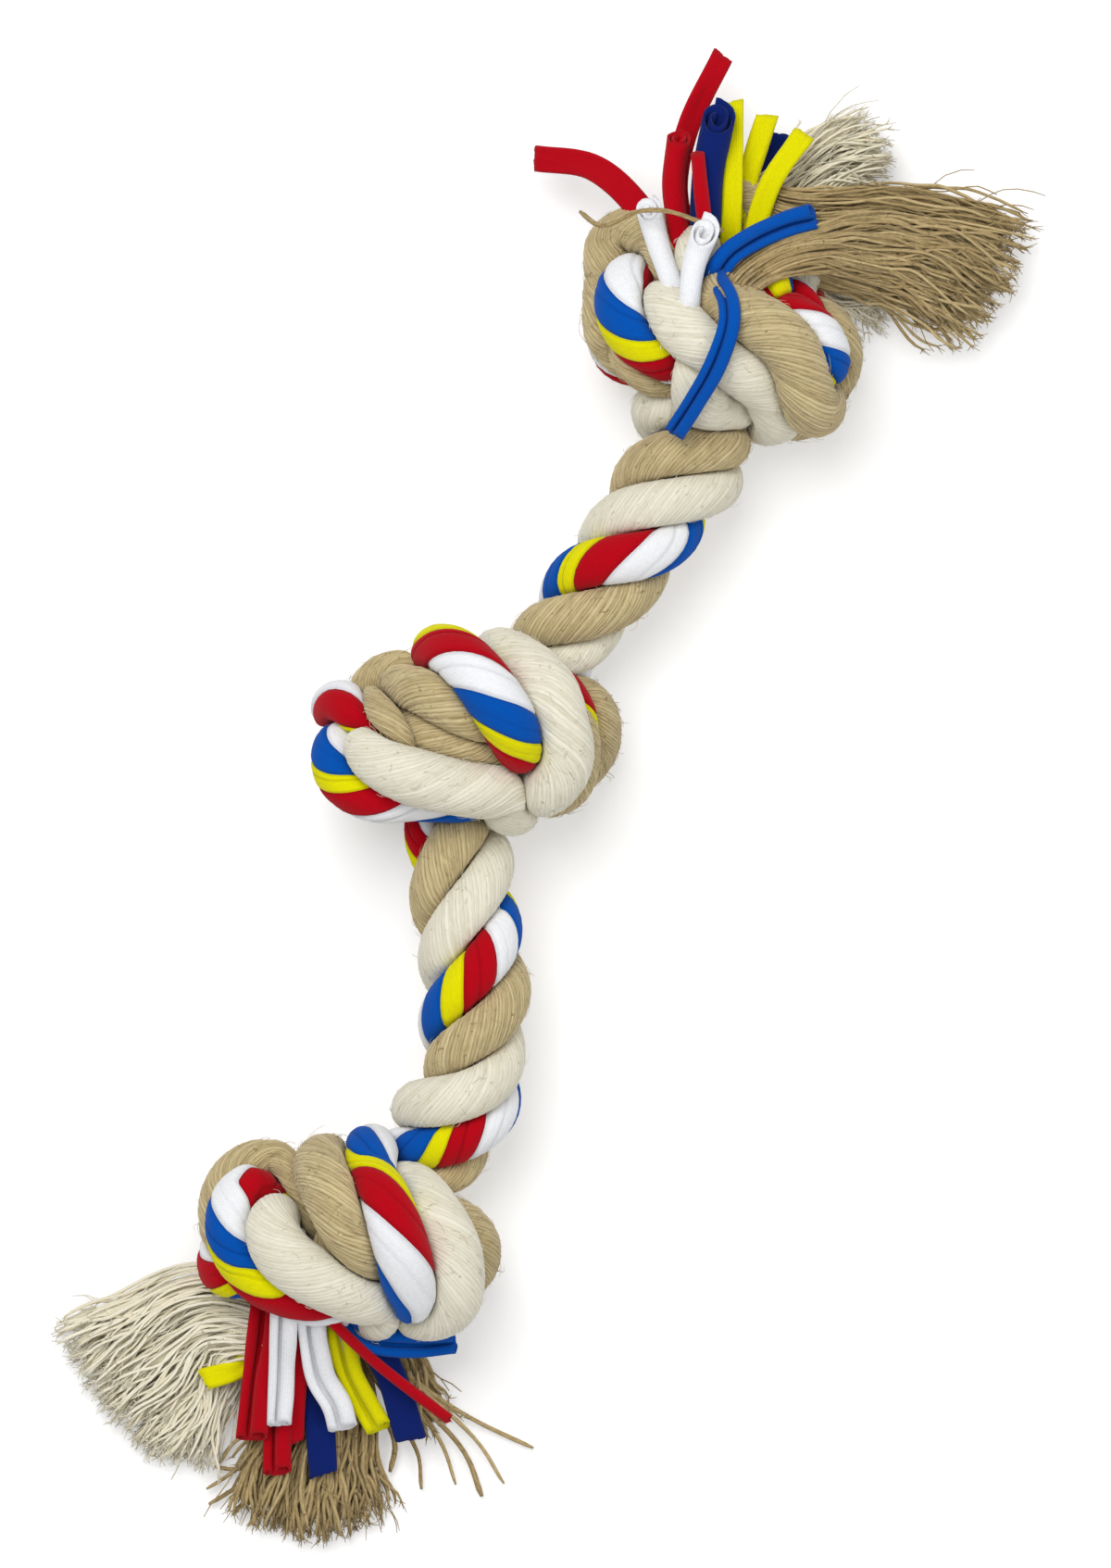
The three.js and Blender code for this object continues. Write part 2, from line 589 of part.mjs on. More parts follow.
// Each piece is trimmed to lie against those listed before it
const pieces = [];
const halfFlex = Math.round(FLEX_LENGTH / SAMPLE_STEP / 2);
const bends = BENDS.map((place) => {
  const distances = rope.points.map((point) => point.distanceTo(place));
  return distances.indexOf(Math.min(...distances));
});
const cuts = [0, bends[0] - halfFlex, bends[0] + halfFlex, bends[1] - halfFlex, bends[1] + halfFlex,
  rope.points.length - 1];
strands.forEach((strand) => {
  SECTIONS.forEach((section, order) => {
    const rings = strandRings(strand, cuts[order], cuts[order + 1], cloud);
    pieces.push({
      name: `${strand.name}_strand_${section}`, material: strand.name, rings, solidOf: strandSolid,
    });
  });
});
TAILS.forEach(({ name, strand, atStart, route, width, thick }) => {
  const { line, frames } = strands.find((other) => other.name === strand);
  const end = atStart ? 0 : line.length - 1;
  const away = frames[end].tangent.clone().multiplyScalar(atStart ? -END_GAP : END_GAP);
  const places = [line[end].clone().add(away), ...route.map((place) => vec(...place))];
  const rings = ovalRings(evenPoints(places, TAIL_STEP), between(width), between(thick), TAIL_SIDES);
  rings.at(-1).spokes.forEach((spoke, order) => {
    spoke.reach -= order % 2 ? TAIL_RAGGED : 0;
  });
  pieces.push({ name, material: strand, rings, solidOf: looseSolid });
});
[['upper', UPPER_STRIPS], ['lower', LOWER_STRIPS]].forEach(([end, strips]) => {
  strips.forEach(([name, colour, width, route]) => {
    const line = evenPoints(route.map((place) => vec(...place)), STRIP_STEP);
    const rings = ovalRings(line, () => width / 2, () => STRIP_THICKNESS / 2, STRIP_SIDES);
    pieces.push({ name: `${end}_${name}_strip`, material: colour, rings, solidOf: looseSolid });
  });
});

const overlaps = (a, b) => [0, 1, 2].every((axis) => (
  a.min[axis] <= b.max[axis] && b.min[axis] <= a.max[axis]));
const toy = new THREE.Group();
const below = wasm.Manifold.cube([FLOOR_SPAN, FLOOR_SPAN, FLOOR_SPAN], true)
  .translate(0, 0, -FLOOR_SPAN / 2);
const placed = [{ body: below, box: below.boundingBox() }];
pieces.forEach(({ name, material, rings, solidOf }) => {
  let solid = solidOf(rings, 0);
  placed.forEach(({ body, box }) => {
    if (overlaps(box, solid.boundingBox())) solid = solid.subtract(body);
  });
  const parts = solid.decompose().sort((a, b) => b.volume() - a.volume());
  const { vertProperties, triVerts } = parts[0].getMesh();
  const geometry = new THREE.BufferGeometry();
  geometry.setAttribute('position', new THREE.BufferAttribute(vertProperties, 3));
  geometry.setIndex(new THREE.BufferAttribute(triVerts, 1));
  geometry.computeVertexNormals();
  const mesh = new THREE.Mesh(geometry, MATERIALS[material]);
  mesh.name = name;
  toy.add(mesh);
  const body = solidOf(rings, SEAT_GAP);
  placed.push({ body, box: body.boundingBox() });
});

export default toy;
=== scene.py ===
"""A rope tug toy for dogs, dressed around its CAD frame.

Three laid strands, of jute, cotton and jersey cloth, run through three overhand knots and
open into a frayed tassel at each end. Lengths are in millimetres until a mesh is written,
and meshes are in metres, in the frame of the CAD model.
"""
import logging
import math
from dataclasses import dataclass, field
from enum import Enum

import bmesh
import bpy
import numpy as np
from bpy.types import ID, Material, Node, NodeOutputs, NodeSocket, NodeTree, Object
from numpy.linalg import norm
from numpy.random import Generator
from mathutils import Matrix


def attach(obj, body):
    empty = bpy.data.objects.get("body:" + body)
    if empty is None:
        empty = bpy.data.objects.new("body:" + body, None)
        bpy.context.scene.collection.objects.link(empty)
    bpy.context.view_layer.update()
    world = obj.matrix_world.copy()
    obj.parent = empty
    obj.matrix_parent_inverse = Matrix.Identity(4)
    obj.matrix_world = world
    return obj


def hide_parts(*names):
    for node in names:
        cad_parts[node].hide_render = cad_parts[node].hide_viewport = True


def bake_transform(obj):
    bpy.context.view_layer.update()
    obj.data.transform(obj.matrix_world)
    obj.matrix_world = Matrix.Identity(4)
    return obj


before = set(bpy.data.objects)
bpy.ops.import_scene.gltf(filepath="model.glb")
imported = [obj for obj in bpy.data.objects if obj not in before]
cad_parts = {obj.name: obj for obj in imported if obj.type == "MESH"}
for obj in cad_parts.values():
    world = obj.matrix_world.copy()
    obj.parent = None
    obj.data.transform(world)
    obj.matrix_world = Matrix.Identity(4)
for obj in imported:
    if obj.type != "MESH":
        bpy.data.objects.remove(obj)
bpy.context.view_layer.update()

Array = np.ndarray
Pair = tuple[float, float]
Place = tuple[float, float, float]

LOG = logging.getLogger("rope_toy")
MM = 0.001
UP = np.array([0.0, 0.0, 1.0])
# Nearly upright, so that even an upright thread has a direction across it
NEARLY_UP = UP + np.array([0.013, 0.007, 0.0])
TURN = 2.0 * math.pi
TINY = 1e-9
SMALL = 1e-6
WHITE = (1.0, 1.0, 1.0, 1.0)
LAY_MAP = "lay"
# Tone by yarn: random, with painted light on the raised yarns of the strands and painted shade on sunken
# ones
TONE = "tone"
# How high a point stands on its yarn or strip; the materials paint shade where it is low
CROWN = "crown"


class Strand(Enum):
    """The three strands in their order round the rope, a third of a turn apart."""

    JUTE = "jute"
    CLOTH = "cloth"
    COTTON = "cotton"


class Colour(Enum):
    """Colours of the jersey, in sRGB from 0 to 255."""

    RED = (182, 2, 22)
    WHITE = (243, 244, 247)
    BLUE = (0, 82, 176)
    NAVY = (12, 34, 106)
    YELLOW = (230, 224, 0)


class Section(Enum):
    """How a strip of jersey has curled."""

    FLAT = "flat"
    ROLL = "roll"
    SCROLL = "scroll"


class BundleStart(Enum):
    """Where a bundle of opened yarns comes from."""

    STRAND_END = "strand end"
    BEHIND_KNOT = "behind the knot"
    ON_KNOT = "on the knot"


@dataclass(frozen=True)
class RopeSizes:
    """Sizes of the rope and values of its settling, shared with the CAD model."""

    strand: float = 18.6
    rope: float = 37.4
    pitch: float = 68.0
    rest_depth: float = 1.9
    knot_half: tuple[float, float, float] = (50.0, 34.0, 41.0)
    flex: float = 40.0
    flex_lead: float = 12.0
    step: float = 4.0
    divisions: int = 40
    crowding: float = 0.8
    rounds: int = 600
    pair_rounds: int = 10
    pair_margin: float = 6.0
    push: float = 0.2
    smooth: float = 0.15
    home: float = 0.002
    shown_pull: float = 0.3
    shown_girth: float = 1.06
    self_span: float = 32.0
    girth_window: int = 3
    wrap: tuple[float, float, float, float] = (0.35, 0.75, 1.0, 1.25)
    wrap_spread: float = 0.55
    wrap_flatten: float = 0.6
    pass_turn: float = 15.0
    fade: int = 8
    place_window: int = 30


SIZES = RopeSizes()

# The inner route of an overhand knot about its middle, and the girth of the strands there
KNOT_CORE = [
    (28, 15.5, -9, 0.8), (28, 1.5, -10, 0.75), (26, -11.5, -4, 0.75), (18, -16.5, 9, 0.85),
    (6, -16.5, 22, 1), (-11, -15.5, 28, 1), (-27, -12, 25, 1), (-36, -6.5, 19, 0.95),
    (-33, 0, 14, 0.85), (-20, 3.5, 11, 0.7), (2, 4, 10, 0.6), (22, 3.5, 10, 0.6), (37, 0, 2, 0.7),
    (39, -2.5, -13, 0.8), (28, -4, -27, 0.9), (5, -3.5, -31, 0.9), (-18, -3.5, -29, 0.9),
    (-33, -5.5, -18, 0.8), (-36, -8, -4, 0.7), (-24, -10.5, 8, 0.6), (-4, -11.5, 10, 0.6),
    (14, -13, 10, 0.75), (27, -10, 20, 0.95), (26, 0, 28, 1), (14, 9, 30, 1), (0, 15.5, 22, 1),
    (-9, 18, 8, 0.9), (-14, 13, -6, 0.75), (-11, 1.5, -10, 0.7), (-7, -13, -7, 0.8),
]
LOWER_PASS = 5
UPPER_PASS = 24
PASS_REACH = 2
SIDE_TURN = 13


@dataclass(frozen=True)
class Knot:
    """One knot: its middle, its turn on the floor, and how the jute lies at its passes, in degrees."""

    name: str
    middle: Place
    turn: float
    lower: float
    upper: float
    side: float | None = None


KNOTS = [
    Knot("upper", (93, 148, 41), -18, 190, 0),
    Knot("middle", (0, 4, 41), 0, 120, 240, side=0),
    Knot("lower", (-43, -177, 41), -14, 190, 240),
]

# The free stretches of the rope, before, between and after the knots, with its girth
STRETCHES = [
    [(88, 186, 34, 1), (104, 182, 34, 0.9)],
    [(92, 112, 40, 1), (81, 97, 42, 1), (63, 73, 42, 1), (47, 52, 42, 1), (40, 40, 39, 1)],
    [(-4, -33, 39, 1), (0, -53, 42, 1), (5.5, -83, 42, 1), (5, -110, 42, 1), (-1, -133, 42, 1),
     (-5, -146, 39, 1)],
    [(-50, -204, 30, 0.9), (-52, -212, 24, 1)],
]
JUTE_ON_TOP = [(90, 107, 37), (45, 53, 37), (-3, -47, 37), (3, -110, 37)]
BENDS = [(63, 73, 42), (5.5, -97, 42)]


@dataclass(frozen=True)
class Shown:
    """Places that one strand is led through where it shows on a knot."""

    knot: str
    on_lower: bool
    strand: Strand
    places: tuple[Place, ...]


SHOWN = [
    Shown("upper", False, Strand.COTTON,
          ((116.5, 126.5, 40), (112.5, 134, 47), (102.5, 142.5, 51), (91.5, 149.5, 48))),
    Shown("upper", True, Strand.COTTON,
          ((115, 129.5, 54), (100, 134.5, 66), (86, 142, 72), (76.5, 150.5, 70), (72, 157.5, 58))),
    Shown("upper", True, Strand.CLOTH,
          ((88.5, 135.5, 54), (74, 139.5, 58), (64, 147.5, 60), (60, 156.5, 58), (63.5, 166, 48))),
    Shown("upper", True, Strand.JUTE,
          ((115, 126, 28), (100, 128.5, 30), (81.5, 134, 36), (67.5, 138.5, 41), (58.5, 146.5, 42),
           (55.5, 156.5, 42), (58.5, 166.5, 42))),
    Shown("upper", False, Strand.JUTE,
          ((123.5, 124, 56), (121.5, 134, 68), (114, 144, 76), (101.5, 151.5, 74), (90, 155.5, 62))),
    Shown("upper", False, Strand.CLOTH,
          ((120.5, 124, 46), (126.5, 130, 56), (128, 138, 61), (122, 145.5, 61), (111.5, 150, 54))),
    Shown("middle", True, Strand.JUTE,
          ((16, -5, 50), (0, -2, 59), (-13.5, 0.5, 61), (-25, 2.5, 54))),
    Shown("middle", True, Strand.COTTON,
          ((17.5, -14, 56), (0, -16, 66), (-16.5, -12.5, 70), (-30.5, -5.5, 66), (-35.5, 1, 54))),
    Shown("middle", True, Strand.CLOTH,
          ((-16.5, -20.5, 52), (-31.5, -19, 55), (-40, -10.5, 54), (-40.5, -2.5, 51),
           (-35.5, 2.5, 42))),
    Shown("middle", False, Strand.JUTE,
          ((13.5, 2.5, 60), (-1, 11.5, 68), (-14, 18, 66), (-22.5, 17.5, 54))),
    Shown("middle", False, Strand.CLOTH,
          ((25, -6, 54), (19.5, 1.5, 69), (11.5, 13.5, 77), (4, 24, 75), (-3.5, 30.5, 66),
           (-8.5, 31.5, 54))),
    Shown("middle", False, Strand.COTTON,
          ((16.5, -12, 46), (26.5, -12, 58), (34.5, -4, 65), (34.5, 6.5, 67), (30, 17.5, 65),
           (21.5, 27.5, 59), (13.5, 32.5, 48))),
    Shown("lower", True, Strand.COTTON,
          ((-26.5, -196, 54), (-40, -196.5, 64), (-53.5, -191.5, 70), (-64.5, -183.5, 70),
           (-69.5, -174, 64), (-67.5, -166.5, 52))),
    Shown("lower", True, Strand.CLOTH,
          ((-50, -197.5, 50), (-63.5, -196, 55), (-73.5, -191, 57), (-79.5, -181.5, 57),
           (-80.5, -170.5, 56), (-76, -161.5, 49))),
    Shown("lower", True, Strand.JUTE,
          ((-66.5, -191.5, 36), (-78.5, -183.5, 39), (-82.5, -173.5, 40), (-81.5, -162.5, 40),
           (-75.5, -154.5, 41), (-66, -151.5, 42))),
    Shown("lower", False, Strand.JUTE,
          ((-30.5, -191.5, 54), (-35.5, -181.5, 67), (-42.5, -168.5, 74), (-48.5, -158.5, 68),
           (-51.5, -152.5, 54))),
    Shown("lower", False, Strand.CLOTH,
          ((-16.5, -200.5, 54), (-20, -191.5, 68), (-23.5, -178.5, 76), (-29.5, -165, 74),
           (-34.5, -156.5, 60))),
    Shown("lower", False, Strand.COTTON,
          ((-20, -203.5, 44), (-8.5, -201.5, 55), (-2.5, -192.5, 61), (-4.5, -180, 63),
           (-11.5, -168.5, 61), (-17.5, -162, 50))),
]


def smoothstep(value: Array, low: float, high: float) -> Array:
    """Rise smoothly from 0 at low to 1 at high.

    Args:
        value: Numbers to map.
        low: Where the rise starts.
        high: Where it ends.

    Returns:
        The mapped numbers.
    """
    share = np.clip((np.asarray(value, float) - low) / (high - low), 0.0, 1.0)
    return share * share * (3.0 - 2.0 * share)


def unit(vectors: Array) -> Array:
    """Vectors scaled to a length of one."""
    return vectors / np.maximum(norm(vectors, axis=-1, keepdims=True), TINY)


def run_lengths(points: Array) -> Array:
    """Lengths along a run of points, from zero at its first."""
    return np.concatenate([[0.0], np.cumsum(norm(np.diff(points, axis=0), axis=1))])


def turned(points: Array, degrees: float) -> Array:
    """Turn points about the vertical through the origin.

    Args:
        points: The points.
        degrees: How far they turn.

    Returns:
        The turned points.
    """
    angle = math.radians(degrees)
    cosine, sine = math.cos(angle), math.sin(angle)
    rotation = np.array([[cosine, -sine, 0], [sine, cosine, 0], [0, 0, 1]])
    return np.asarray(points, float) @ rotation.T


def tangents_of(points: Array) -> Array:
    """Find the unit directions along a run of points.

    Args:
        points: The run of points.

    Returns:
        A direction at each point.
    """
    before = np.vstack([points[:1], points[:-1]])
    after = np.vstack([points[1:], points[-1:]])
    return unit(after - before)


def frames_of(points: Array, first: Array) -> tuple[Array, Array, Array]:
    """Cross directions that follow a run of points without turning about it.

    Args:
        points: The run of points.
        first: The normal at its start.

    Returns:
        Tangents, normals and binormals.
    """
    tangents = tangents_of(points)
    normals = np.empty_like(tangents)
    normal = np.array(first, float)
    for k, tangent in enumerate(tangents):
        normal = normal - tangent * (normal @ tangent)
        normal /= norm(normal)
        normals[k] = normal
    return tangents, normals, np.cross(tangents, normals)


def swung(first: Array, second: Array, angle: Array) -> Array:
    """Directions at angles from a first direction towards a second one."""
    return first * np.cos(angle)[..., None] + second * np.sin(angle)[..., None]


class SmoothCurve:
    """A centripetal curve through given places."""

    def __init__(self, places: Array, divisions: int = 200) -> None:
        """Measure the curve.

        Args:
            places: The places that it passes through.
            divisions: How many steps its length is measured in.
        """
        self.places = np.asarray(places, float)
        self.shares = np.linspace(0.0, 1.0, divisions + 1)
        self.lengths = run_lengths(self.at(self.shares))

    @property
    def length(self) -> float:
        """The curve's length."""
        return float(self.lengths[-1])

    def at(self, shares: Array) -> Array:
        """Points at shares of the run of places.

        Args:
            shares: Numbers from 0 to 1.

        Returns:
            The points.
        """
        places = self.places
        last = len(places) - 1
        position = np.asarray(shares, float) * last
        index = np.minimum(position.astype(int), last - 1)
        weight = (position - index)[:, None]
        padded = np.vstack([2 * places[0] - places[1], places, 2 * places[-1] - places[-2]])
        p0, p1, p2, p3 = (padded[index + k] for k in range(4))
        d0, d1, d2 = (np.sqrt(norm(b - a, axis=1))[:, None]
                      for a, b in ((p0, p1), (p1, p2), (p2, p3)))
        t1 = ((p1 - p0) / d0 - (p2 - p0) / (d0 + d1) + (p2 - p1) / d1) * d1
        t2 = ((p2 - p1) / d1 - (p3 - p1) / (d1 + d2) + (p3 - p2) / d2) * d1
        c2 = -3 * p1 + 3 * p2 - 2 * t1 - t2
        c3 = 2 * p1 - 2 * p2 + t1 + t2
        return p1 + weight * (t1 + weight * (c2 + weight * c3))

    def at_length(self, shares: Array) -> Array:
        """Points at shares of the curve's length."""
        return self.at(np.interp(np.asarray(shares, float) * self.length, self.lengths, self.shares))

    def spaced(self, step: float) -> Array:
        """Points about a step apart along the curve."""
        count = max(2, round(self.length / step))
        return self.at_length(np.linspace(0.0, 1.0, count + 1))


@dataclass
class Rope:
    """The rope's route and the settled middle lines of its strands."""

    sizes: RopeSizes = SIZES
    points: Array = field(init=False)
    girths: Array = field(init=False)
    lines: list[Array] = field(init=False)
    pulls: Array = field(init=False)

    def __post_init__(self) -> None:
        """Lay the route, then the strands, and settle them."""
        self.turns: list[tuple[Array, float, Array]] = [
            (np.array(place, float), 0.0, UP) for place in JUTE_ON_TOP]
        self.marks: dict[tuple[str, int], int] = {}
        self._route()
        self._strand_lines()
        self._lead_shown()
        self._relax()

    def _route(self) -> None:
        """The route of the whole rope, with its girth and the known turns of its strands."""
        places: list[Array] = []
        girths: list[float] = []
        names: list[tuple[str, int] | None] = []
        for order, stretch in enumerate(STRETCHES):
            for x, y, z, girth in stretch:
                places.append(np.array([x, y, z], float))
                girths.append(girth)
                names.append(None)
            if order == len(KNOTS):
                break
            knot = KNOTS[order]
            core = turned([entry[:3] for entry in KNOT_CORE], knot.turn) + np.array(knot.middle, float)
            if knot.side is not None:
                self.turns.append((core[SIDE_TURN], knot.side, turned([[1, 0, 0]], knot.turn)[0]))
            for end in (-1, 1):
                swing = end * self.sizes.pass_turn
                self.turns.append((core[LOWER_PASS + end], knot.lower + swing, UP))
                self.turns.append((core[UPPER_PASS + end], knot.upper + swing, UP))
            for number, place in enumerate(core):
                places.append(place)
                girths.append(KNOT_CORE[number][3])
                names.append((knot.name, number))
        route = np.array(places)
        self.points = SmoothCurve(route, len(route) * self.sizes.divisions).spaced(self.sizes.step)
        apart = norm(self.points[:, None] - route[None], axis=2)
        nearest = np.array(girths)[apart.argmin(axis=1)]
        window = self.sizes.girth_window
        runs = [nearest[max(k - window, 0):k + window + 1] for k in range(len(nearest))]
        self.girths = np.array([run.mean() for run in runs])
        at = 0
        for order, name in enumerate(names):
            last = min(at + self.sizes.place_window, len(self.points))
            at += int(apart[at:last, order].argmin())
            if name:
                self.marks[name] = at

    def _strand_lines(self) -> None:
        """Middle lines laid round the rope, and spread flat side by side where they wrap a knot."""
        sizes = self.sizes
        _, normals, binormals = frames_of(self.points, UP)
        angles = self._strand_turns(normals, binormals)
        radius = (sizes.rope - sizes.strand) / 2
        reach, way = self._knot_surface()
        inner, outer, end, gone = sizes.wrap
        wrap = (smoothstep(reach, inner, outer) * (1 - smoothstep(reach, end, gone)))[:, None]
        self.lines = []
        for order in range(len(Strand)):
            offset = swung(normals, binormals, angles + order * TURN / len(Strand))
            outward = (offset * way).sum(axis=1, keepdims=True)
            spread = (offset - way * outward) * (1 + sizes.wrap_spread * wrap)
            spread += way * outward * (1 - sizes.wrap_flatten * wrap)
            self.lines.append(self.points + spread * radius)

    def _strand_turns(self, normals: Array, binormals: Array) -> Array:
        """The angle of the jute strand about the rope at every point.

        Args:
            normals: The rope's cross directions.
            binormals: The other cross directions.

        Returns:
            Angles in radians.
        """
        known = []
        for place, jute, way in self.turns:
            index = int(norm(self.points - place, axis=1).argmin())
            upward = math.atan2(way @ binormals[index], way @ normals[index])
            known.append([index, upward + math.radians(jute)])
        known.sort(key=lambda entry: entry[0])
        rate = TURN * self.sizes.step / self.sizes.pitch
        for first, second in zip(known, known[1:]):
            expected = first[1] + rate * (second[0] - first[0])
            second[1] += TURN * round((expected - second[1]) / TURN)
        indices = np.array([entry[0] for entry in known], float)
        values = np.array([entry[1] for entry in known])
        at = np.arange(len(self.points), dtype=float)
        inside = np.interp(at, indices, values)
        before = np.minimum(at - indices[0], 0.0) * rate
        after = np.maximum(at - indices[-1], 0.0) * rate
        return inside + before + after

    def _knot_surface(self) -> tuple[Array, Array]:
        """Find how far each point of the route lies out from its knot, and the way out there.

        Returns:
            Reaches, which are 1 on the knot's surface, and unit directions.
        """
        half = np.array(self.sizes.knot_half)
        reaches = []
        ways = []
        for knot in KNOTS:
            scaled = (self.points - np.array(knot.middle, float)) / half
            reaches.append(norm(scaled, axis=1))
            ways.append(unit(scaled / half))
        best = np.argmin(reaches, axis=0)
        rows = np.arange(len(self.points))
        return np.array(reaches)[best, rows], np.array(ways)[best, rows]

    def _lead_shown(self) -> None:
        """Lead the strands through the places where they show."""
        fade = self.sizes.fade
        self.pulls = np.zeros((len(Strand), len(self.points)))
        order_of = {strand: order for order, strand in enumerate(Strand)}
        for shown in SHOWN:
            order = order_of[shown.strand]
            line = self.lines[order]
            centre_place = LOWER_PASS if shown.on_lower else UPPER_PASS
            start = self.marks[(shown.knot, centre_place - PASS_REACH)]
            stop = self.marks[(shown.knot, centre_place + PASS_REACH)]
            curve = SmoothCurve(np.array(shown.places, float))
            heart = curve.at_length([0.5])[0]
            spacing = norm(np.diff(line[start:stop + 1], axis=0), axis=1).mean()
            centre = start + int(norm(line[start:stop] - heart, axis=1).argmin())
            half = math.floor(curve.length / spacing / 2 + 0.5)
            first, last = centre - half, centre + half
            moves = curve.at_length(np.linspace(0.0, 1.0, last - first + 1)) - line[first:last + 1]
            span = np.arange(first - fade, last + fade + 1)
            inside = np.clip(span, first, last)
            share = 1 - smoothstep(np.abs(span - inside), 0, fade)
            line[span] += moves[inside - first] * share[:, None]
            self.pulls[order][span] = np.maximum(self.pulls[order][span], share)

    def radii(self, order: int) -> Array:
        """Radii of one strand along its line."""
        pull = self.pulls[order]
        return (self.girths * (1 - pull) + self.sizes.shown_girth * pull) * self.sizes.strand / 2

    def _relax(self) -> None:
        """Push the strands apart where they would run into each other or the floor."""
        sizes = self.sizes
        count = len(self.points)
        place = np.vstack(self.lines)
        home = place.copy()
        pull = sizes.home + (sizes.shown_pull - sizes.home) * self.pulls.reshape(-1, 1)
        reach = sizes.crowding * np.concatenate([self.radii(order) for order in range(len(Strand))])
        lowest = sizes.strand / 2 - sizes.rest_depth
        for number in range(sizes.rounds):
            if number % sizes.pair_rounds == 0:
                first, second, limit = self._close_pairs(place, reach)
            moves = (home - place) * pull
            gap = place[second] - place[first]
            distance = norm(gap, axis=1)
            near = distance < limit
            gap = gap[near] * (sizes.push * (limit[near] - distance[near]) / distance[near])[:, None]
            np.subtract.at(moves, first[near], gap)
            np.add.at(moves, second[near], gap)
            place += moves
            place[:, 2] = np.maximum(place[:, 2], lowest)
            runs = place.reshape(len(Strand), count, 3)
            middle = (runs[:, :-2] + runs[:, 2:]) / 2
            runs[:, 1:-1] += (middle - runs[:, 1:-1]) * sizes.smooth
        self.lines = list(place.reshape(len(Strand), count, 3))

    def _close_pairs(self, place: Array, reach: Array) -> tuple[Array, Array, Array]:
        """Pairs of strand points near enough to touch in the next few rounds.

        Args:
            place: All the strands' points, strand after strand.
            reach: The reach of each point.

        Returns:
            First and second indices, and the distance at which they touch.
        """
        count = len(self.points)
        apart = math.ceil(self.sizes.self_span / self.sizes.step)
        distance = norm(place[:, None] - place[None], axis=2)
        limit = reach[:, None] + reach[None]
        close = np.triu(distance < limit + self.sizes.pair_margin, 1)
        first, second = np.nonzero(close)
        keep = (first // count != second // count) | (second - first >= apart)
        return first[keep], second[keep], limit[first[keep], second[keep]]

    def cuts(self) -> list[int]:
        """Find the strands' ends and the ends of the two bends.

        Returns:
            Six indices along the route, in order.
        """
        half = round(self.sizes.flex / self.sizes.step / 2)
        ends = [0]
        for place in BENDS:
            bend = int(norm(self.points - np.array(place, float), axis=1).argmin())
            ends += [bend - half, bend + half]
        return ends + [len(self.points) - 1]


def wander(rng: Generator, count: int, knots: int, rows: int = 1) -> Array:
    """Slow random curves about zero.

    Args:
        rng: The source of numbers.
        count: Points in each curve.
        knots: Random values along it.
        rows: How many curves.

    Returns:
        An array of rows by count, mostly between -1 and 1.
    """
    values = rng.uniform(-1.0, 1.0, (rows, knots + 3))
    at = np.linspace(0.0, knots, count)
    index = np.minimum(at.astype(int), knots - 1)
    share = smoothstep(at - index, 0.0, 1.0)
    return values[:, index] * (1 - share) + values[:, index + 1] * share


def linked(name: str, data: ID) -> Object:
    """Make an object and link it to the scene.

    Args:
        name: Its name.
        data: Its mesh, camera or light.

    Returns:
        The new object.
    """
    obj = bpy.data.objects.new(name, data)
    bpy.context.scene.collection.objects.link(obj)
    return obj


